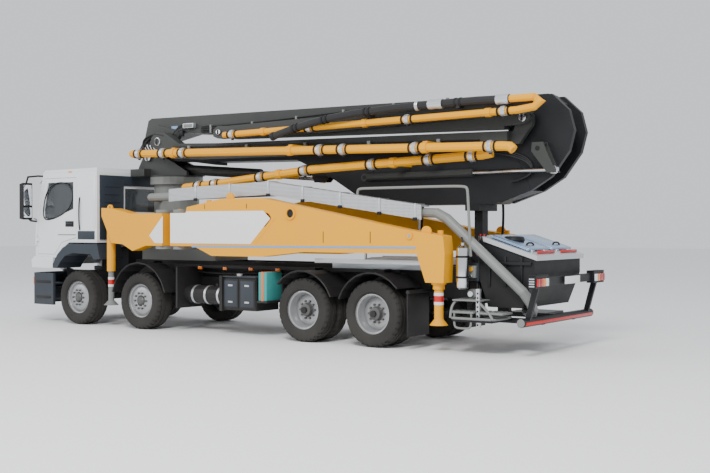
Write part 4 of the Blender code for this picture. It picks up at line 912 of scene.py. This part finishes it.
# %% Handrails, canister and steps
rail = hose([(-6.42, 1.02, 2.30), (-6.42, 1.04, 2.42), (-6.46, 1.05, 2.45), (-6.6, 1.06, 2.45),
             (-7.5, 1.06, 2.45), (-8.30, 1.06, 2.45),
             (-8.39, 1.06, 2.43), (-8.40, 1.05, 2.36), (-8.40, 1.02, 1.9), (-8.40, 0.96, 1.42)], 0.021,
             "light_grey", 5)
joined("handrail_left", "chassis", "light_grey", [rail])
far_rail = hose([(-6.42, -0.86, 1.32), (-6.42, -0.88, 2.38), (-6.50, -0.88, 2.46), (-7.2, -0.88, 2.46),
                 (-7.9, -0.88, 2.46),
                 (-8.0, -0.88, 2.38), (-8.0, -0.82, 1.50), (-8.0, -0.60, 1.26)], 0.021, "chassis_black", 5)
joined("handrail_right", "chassis", "chassis_black", [far_rail])
can_x, can_y = -8.30, 1.03
canister = [
    turned([(0.001, 0.94), (0.060, 0.94), (0.092, 0.965), (0.097, 1.0), (0.097, 1.50), (0.090, 1.54),
            (0.050, 1.575), (0.030, 1.585),
            (0.030, 1.62), (0.001, 1.62)], (can_x, can_y, 0), (0, 0, 1), "chrome", 36),
    turned([(0.097, 1.10), (0.102, 1.10), (0.102, 1.13), (0.097, 1.13)], (can_x, can_y, 0), (0, 0, 1),
           "chassis_black", 36),
    turned([(0.097, 1.40), (0.102, 1.40), (0.102, 1.43), (0.097, 1.43)], (can_x, can_y, 0), (0, 0, 1),
           "chassis_black", 36),
    block((-8.33, -8.27), (0.45, 0.945), (1.10, 1.16), "chassis_black", 0.006),
    hose([(can_x, can_y, 1.60), (-8.28, 1.02, 1.72), (-8.2, 0.90, 1.72), (-8.15, 0.7, 1.5),
          (-8.15, 0.5, 1.2)], 0.012, "hose_rubber", 3),
]
joined("water_canister", "chassis", "chrome", canister)
step = [
    hose([(-8.22, 1.235, 0.53), (-8.86, 1.235, 0.53), (-8.92, 1.20, 0.53), (-8.92, 0.66, 0.53),
          (-8.86, 0.60, 0.53), (-8.22, 0.60, 0.53),
          (-8.20, 0.66, 0.53), (-8.20, 1.20, 0.53)], 0.019, "light_grey", 4, True),
    hose([(-8.21, 1.23, 0.53), (-8.21, 1.22, 0.64), (-8.22, 1.18, 0.76), (-8.25, 1.02, 0.80),
          (-8.26, 0.50, 0.80)], 0.019, "light_grey", 4),
    hose([(-8.90, 1.23, 0.53), (-8.84, 1.22, 0.64), (-8.64, 1.18, 0.76), (-8.54, 1.02, 0.80),
          (-8.50, 0.84, 0.80)], 0.019, "light_grey", 4),
    block((-8.66, -8.20), (0.86, 1.16), (0.775, 0.797), "light_grey", 0.004),
]
for low, high in ((-8.58, -8.20), (-9.05, -8.66)):
    step.append(block((low, high), (0.90, 1.22), (0.60, 0.632), "light_grey", 0.012))
    for index in range(4):
        px = low + 0.06 + index * 0.09
        step.append(block((px, px + 0.03), (0.92, 1.20), (0.632, 0.640), "light_grey", 0.003))
step.append(block((-8.65, -8.59), (1.10, 1.16), (0.40, 0.96), "aluminium", 0.008))
for index in range(8):
    z = 0.44 + index * 0.065
    step.append(bar((-8.62, 1.158, z), (-8.62, 1.168, z), 0.014, "dark_grey", 12))
step.append(hose([(-8.26, 1.20, 0.60), (-8.26, 1.205, 0.46), (-8.27, 1.205, 0.40), (-8.32, 1.205, 0.385),
                  (-8.48, 1.205, 0.385),
                  (-8.53, 1.205, 0.40), (-8.54, 1.205, 0.46), (-8.54, 1.20, 0.60)], 0.016, "light_grey", 4))
for index in range(6):
    px = -8.82 + index * 0.11
    step.append(block((px - 0.024, px + 0.024), (0.61, 1.22), (0.5155, 0.530), "light_grey", 0.004))
joined("rear_step", "chassis", "light_grey", step)
valves = [
    block((-8.44, -8.26), (0.56, 0.80), (1.05, 1.32), "slate", 0.012),
    block((-8.42, -8.28), (0.80, 0.86), (1.10, 1.28), "light_grey", 0.008),
    bar((-8.35, 0.86, 1.23), (-8.35, 0.885, 1.23), 0.035, "yellow_paint", 24, 0.004),
    bar((-8.35, 0.86, 1.13), (-8.35, 0.90, 1.13), 0.026, "chrome", 20, 0.004),
    bar((-8.38, 0.70, 1.32), (-8.40, 0.78, 1.44), 0.008, "chrome", 10),
    bar((-8.40, 0.78, 1.44), (-8.402, 0.788, 1.47), 0.017, "red_film", 14),
    bar((-8.32, 0.62, 0.86), (-8.32, 0.80, 0.86), 0.075, "light_grey", 28, 0.008),
    bar((-8.32, 0.80, 0.86), (-8.32, 0.84, 0.86), 0.045, "chrome", 24, 0.004),
    block((-8.40, -8.24), (0.55, 0.70), (0.55, 1.06), "chassis_black", 0.010),
]
for index in range(5):
    y = 0.60 + 0.045 * index
    valves.append(hose([(-8.28, y, 1.30), (-8.22, y + 0.02, 1.44), (-8.14, y, 1.40),
                        (-8.12, y - 0.03, 1.20), (-8.16, y - 0.05, 0.98),
                        (-8.20, y - 0.06, 0.90)], 0.013, "hose_rubber", 3))
for index in range(3):
    y = 0.62 + 0.06 * index
    valves.append(hose([(-8.38, y, 1.06), (-8.42, y + 0.03, 0.92), (-8.40, y + 0.04, 0.78),
                        (-8.30, y, 0.70)], 0.015, "hose_rubber", 3))
joined("pump_valves", "chassis", "slate", valves)

# %% [markdown]
# The hopper's lid opens upward. Handles, a hinge strap and a dark round pad stand on it, and it is
# stiffened by pressed ribs. Everything on the lid rides with it.

# %% Hopper lid
def lid_height(x):
    return 1.735 + (1.38 - 1.66) / (-9.34 + 8.45) * (x + 8.45)


HANDLE_Z = lid_height(-9.10)
LIP_Z = lid_height(-9.30)
lid_parts = []
for y in (-0.62, -0.22, 0.22, 0.62):
    near, far = lid_height(-8.60), lid_height(-9.24)
    outline = [(-8.60, near), (-9.24, far), (-9.24, far + 0.022), (-8.60, near + 0.022)]
    lid_parts.append(plate(outline, (y - 0.04, y + 0.04), "aluminium", 0.006))
for y in (-0.45, 0.45):
    grip = [(-9.10, y - 0.14, HANDLE_Z - 0.01), (-9.10, y - 0.13, HANDLE_Z + 0.085),
            (-9.10, y, HANDLE_Z + 0.09),
            (-9.10, y + 0.13, HANDLE_Z + 0.085), (-9.10, y + 0.14, HANDLE_Z - 0.01)]
    lid_parts.append(hose(grip, 0.013, "chassis_black", 4))
lid_parts.append(turned([(0.001, 0.0), (0.15, 0.0), (0.165, 0.03), (0.155, 0.075), (0.12, 0.09),
                         (0.001, 0.09)],
                        (-8.82, 0.42, lid_height(-8.82) + 0.004), (0, 0, 1), "chassis_black", 36))
for low, high in ((-0.74, -0.06), (0.06, 0.74)):
    near, far = lid_height(-8.60), lid_height(-9.22)
    outline = [(-8.60, near + 0.012), (-9.22, far + 0.012), (-9.22, far + 0.050), (-8.60, near + 0.050)]
    lid_parts.append(plate(outline, (low, high), "lid_blue", 0.010))
    lid_parts.append(block((-9.318, -9.290), (low, high - 0.12), (LIP_Z + 0.002, LIP_Z + 0.040), "red_film",
                           0.004))
lid_parts.append(block((-9.315, -9.295), (-0.82, 0.82), (LIP_Z - 0.075, LIP_Z - 0.005), "chassis_black",
                       0.004))
joined("lid_fittings", "lid", "aluminium", lid_parts)

# %% [markdown]
# The hopper's walls are stiffened by ribs, a motor turns the agitator from one side, and a grate of
# flat bars keeps stones out. Bars and ribs are one thin plate or block, repeated at an even pitch.

# %% Hopper sides, motor and grate
hopper_parts = []
for y, reach in ((0.800, 0.022), (-0.800, -0.022)):
    for px in (-8.62, -8.88, -9.14):
        hopper_parts.append(block((px - 0.02, px + 0.02), (y, y + reach), (0.98, 1.42), "dark_grey", 0.005))
    hopper_parts.append(block((-9.30, -8.50), (y, y + reach * 1.6), (1.30, 1.345), "dark_grey", 0.006))
hopper_parts.append(bar((-8.72, -0.80, 1.02), (-8.72, -0.98, 1.02), 0.085, "slate", 28, 0.006))
hopper_parts.append(bar((-8.72, -0.98, 1.02), (-8.72, -1.04, 1.02), 0.055, "chrome", 24, 0.004))
hopper_parts.append(block((-8.45, -8.30), (0.52, 0.76), (1.36, 1.62), "slate", 0.012))
for index in range(4):
    px = -8.335 - 0.03 * index
    hopper_parts.append(bar((px, 0.60, 1.62), (px, 0.60, 1.72), 0.008, "chrome", 10))
    hopper_parts.append(bar((px, 0.60, 1.72), (px, 0.60, 1.745), 0.015,
                            "red_film" if index % 2 else "chassis_black", 12))
for index in range(9):
    y = -0.70 + index * 0.175
    hopper_parts.append(plate([(-8.50, 1.60), (-9.28, 1.365), (-9.28, 1.34), (-8.50, 1.575)],
                              (y - 0.006, y + 0.006), "light_grey", 0.0))
joined("hopper_fittings", "chassis", "chassis_black", hopper_parts)

# %% [markdown]
# The bar at the back carries the lamps. Each lamp is a dark housing with red, amber and clear
# windows, and a blank plate hangs between them.

# %% Rear lamps and guards
rear_parts = []
for side in (1, -1):
    for index, lens in enumerate(("red_lens", "red_lens", "amber_lens", "lamp_clear")):
        y = side * (1.21 - index * 0.095)
        rear_parts.append(block((-9.585, -9.561), (y - side * 0.085, y), (1.02, 1.13), lens, 0.008))
    for index in range(4):
        z = 1.015 + index * 0.034
        rear_parts.append(block((-9.54, -9.46), (side * 1.2215, side * 1.227), (z, z + 0.018), "aluminium",
                                0.002))
    rear_parts.append(block((-9.56, -9.44), (side * 0.81, side * 1.23), (1.171, 1.180), "chassis_black",
                            0.002))
rear_parts.append(block((-9.575, -9.561), (-0.26, 0.26), (1.02, 1.13), "white_film", 0.004))
rear_parts.append(block((-9.402, -9.380), (-1.17, 1.17), (0.470, 0.515), "red_film", 0.004))
for side in (1, -1):
    rear_parts.append(bar((-9.33, side * 1.205, 0.505), (-9.33, side * 1.222, 0.505), 0.060, "light_grey",
                          28, 0.006))
joined("rear_lamps", "chassis", "chassis_black", rear_parts)

# %% [markdown]
# Along the chassis hang tanks, boxes and lamps. Bands, latches, lids and ribs turn the plain boxes
# into what they are on a truck, and orange markers show the truck's length at night.

# %% Chassis side fittings
TANK = (0.84, 0.66, 0.16)
GUARDS = ((1, 12, 165, 0.70, 1.23), (2, 40, 158, 0.64, 1.235), (3, 20, 140, 0.64, 1.235))
GUARD_STEPS = 12
for side_name, side in SIDES:
    parts = []
    tank_y, tank_z, tank_radius = TANK
    for px in (-2.82, -3.12, -3.42):
        ring = [(tank_radius, -0.022), (tank_radius + 0.007, -0.022), (tank_radius + 0.007, 0.022),
                (tank_radius, 0.022)]
        parts.append(turned(ring, (px, side * tank_y, tank_z), (1, 0, 0), "aluminium", 36))
    for px in (-2.75, -3.35, -3.95, -4.55):
        parts.append(block((px - 0.045, px + 0.045), (side * 0.700, side * 0.735), (1.10, 1.15),
                           "amber_lens", 0.004))
    for low, high in ((-4.38, -4.03), (-4.01, -3.66)):
        parts.append(block((low, high), (side * 1.1005, side * 1.112), (0.47, 0.97), "chassis_black", 0.010))
        parts.append(block((low + 0.03, high - 0.03), (side * 1.112, side * 1.116), (0.50, 0.94), "slate",
                           0.004))
        for z in (0.58, 0.86):
            middle = (low + high) / 2
            parts.append(block((middle - 0.05, middle + 0.05), (side * 1.114, side * 1.126),
                               (z - 0.015, z + 0.015), "aluminium", 0.004))
    parts.append(block((-4.40, -3.64), (side * 0.53, side * 1.13), (1.0005, 1.016), "slate", 0.004))
    parts.append(bar((-3.90, side * 0.95, 1.01), (-3.90, side * 0.95, 1.055), 0.055, "aluminium", 28, 0.006))
    parts.append(block((-4.64, -4.46), (side * 0.72, side * 1.12), (0.62, 1.10), "pad_green", 0.012))
    parts.append(block((-4.66, -4.44), (side * 0.70, side * 1.13), (0.585, 0.62), "chassis_black", 0.004))
    parts.append(block((-4.66, -4.40), (side * 0.52, side * 0.72), (0.60, 0.98), "chassis_black", 0.006))
    parts.append(block((-4.57, -4.53), (side * 0.715, side * 1.127), (0.615, 1.106), "orange_strap", 0.002))
    for index in range(3):
        z = 0.50 + index * 0.17
        parts.append(block((-2.578, -2.560), (side * 0.60, side * 1.10), (z, z + 0.10), "dark_grey", 0.006))
    for index in range(3):
        y = side * (0.56 + 0.03 * index)
        spots = [(-2.60, y, 1.06), (-3.2, y, 1.02 - 0.02 * index), (-3.9, y, 1.07), (-4.6, y, 1.04)]
        parts.append(hose(spots, 0.014, "hose_rubber", 3))
    joined(f"chassis_fittings_{side_name}", "chassis", "chassis_black", parts)
    flaps = [
        block((-7.47, -7.455), (side * 0.60, side * 1.22), (0.20, 0.86), "hose_rubber", 0.003),
        block((-7.50, -7.44), (side * 0.50, side * 1.22), (0.85, 0.90), "chassis_black", 0.004),
        block((-7.47, -7.44), (side * 0.46, side * 0.56), (0.86, 1.00), "chassis_black", 0.004),
    ]
    for axle, start, end, radius, high in GUARDS:
        x = AXLES[axle]
        edge = radius - 0.004
        arc = []
        for index in range(GUARD_STEPS + 1):
            angle = math.radians(start + (end - start) * index / GUARD_STEPS)
            arc.append((x + edge * math.cos(angle), side * (high - 0.003), HUB_Z + edge * math.sin(angle)))
        flaps.append(hose(arc, 0.013, "chassis_black", 3))
    joined(f"mudguard_trim_{side_name}", "chassis", "chassis_black", flaps)
    deck_parts = []
    for index in range(26):
        px = -7.58 + index * 0.08
        deck_parts.append(block((px - 0.011, px + 0.011), (side * 0.56, side * 0.965), (1.3205, 1.330),
                                "aluminium", 0.002))
    deck_parts.append(block((-7.62, -5.54), (side * 0.9755, side * 0.985), (1.275, 1.345), "aluminium",
                            0.003))
    joined(f"deck_ribs_{side_name}", "chassis", "aluminium", deck_parts)

# %% [markdown]
# The truck stands on a plain pale floor and is seen at eye height, from behind its left side. Two
# large soft lights and a bright even sky keep the shadows mild.

# %% Camera, floor and light
clear()
bpy.ops.mesh.primitive_plane_add(size=160, location=(0, 0, -0.002))
floor = bpy.context.object
floor.name = "floor"
pale = Finish("pale_floor", (0.90, 0.90, 0.90), 0.9)
floor.data.materials.append(pale.material)

camera_data = bpy.data.cameras.new("camera")
camera_data.lens = 53.12
camera_data.sensor_width = 36
camera_data.clip_end = 500
camera = bpy.data.objects.new("camera", camera_data)
camera.location = (-11.744, 14.430, 1.828)
camera.rotation_euler = (math.radians(89.56), 0, math.radians(-144.66))
bpy.context.scene.collection.objects.link(camera)
bpy.context.scene.camera = camera


def soft_light(name, spot, target, size, power):
    light = bpy.data.lights.new(name, "AREA")
    light.size = size
    light.energy = power
    lamp = bpy.data.objects.new(name, light)
    lamp.location = spot
    lamp.rotation_euler = (Vector(target) - Vector(spot)).to_track_quat("-Z", "Y").to_euler()
    bpy.context.scene.collection.objects.link(lamp)


soft_light("key", (-9, 16, 16), (0, 0, 1.5), 6, 4200)
soft_light("fill", (14, 12, 9), (0, 0, 1.5), 10, 700)
world = bpy.data.worlds.new("sky")
world.use_nodes = True
world.node_tree.nodes["Background"].inputs["Color"].default_value = (0.93, 0.96, 1.0, 1)
world.node_tree.nodes["Background"].inputs["Strength"].default_value = 0.95
bpy.context.scene.world = world
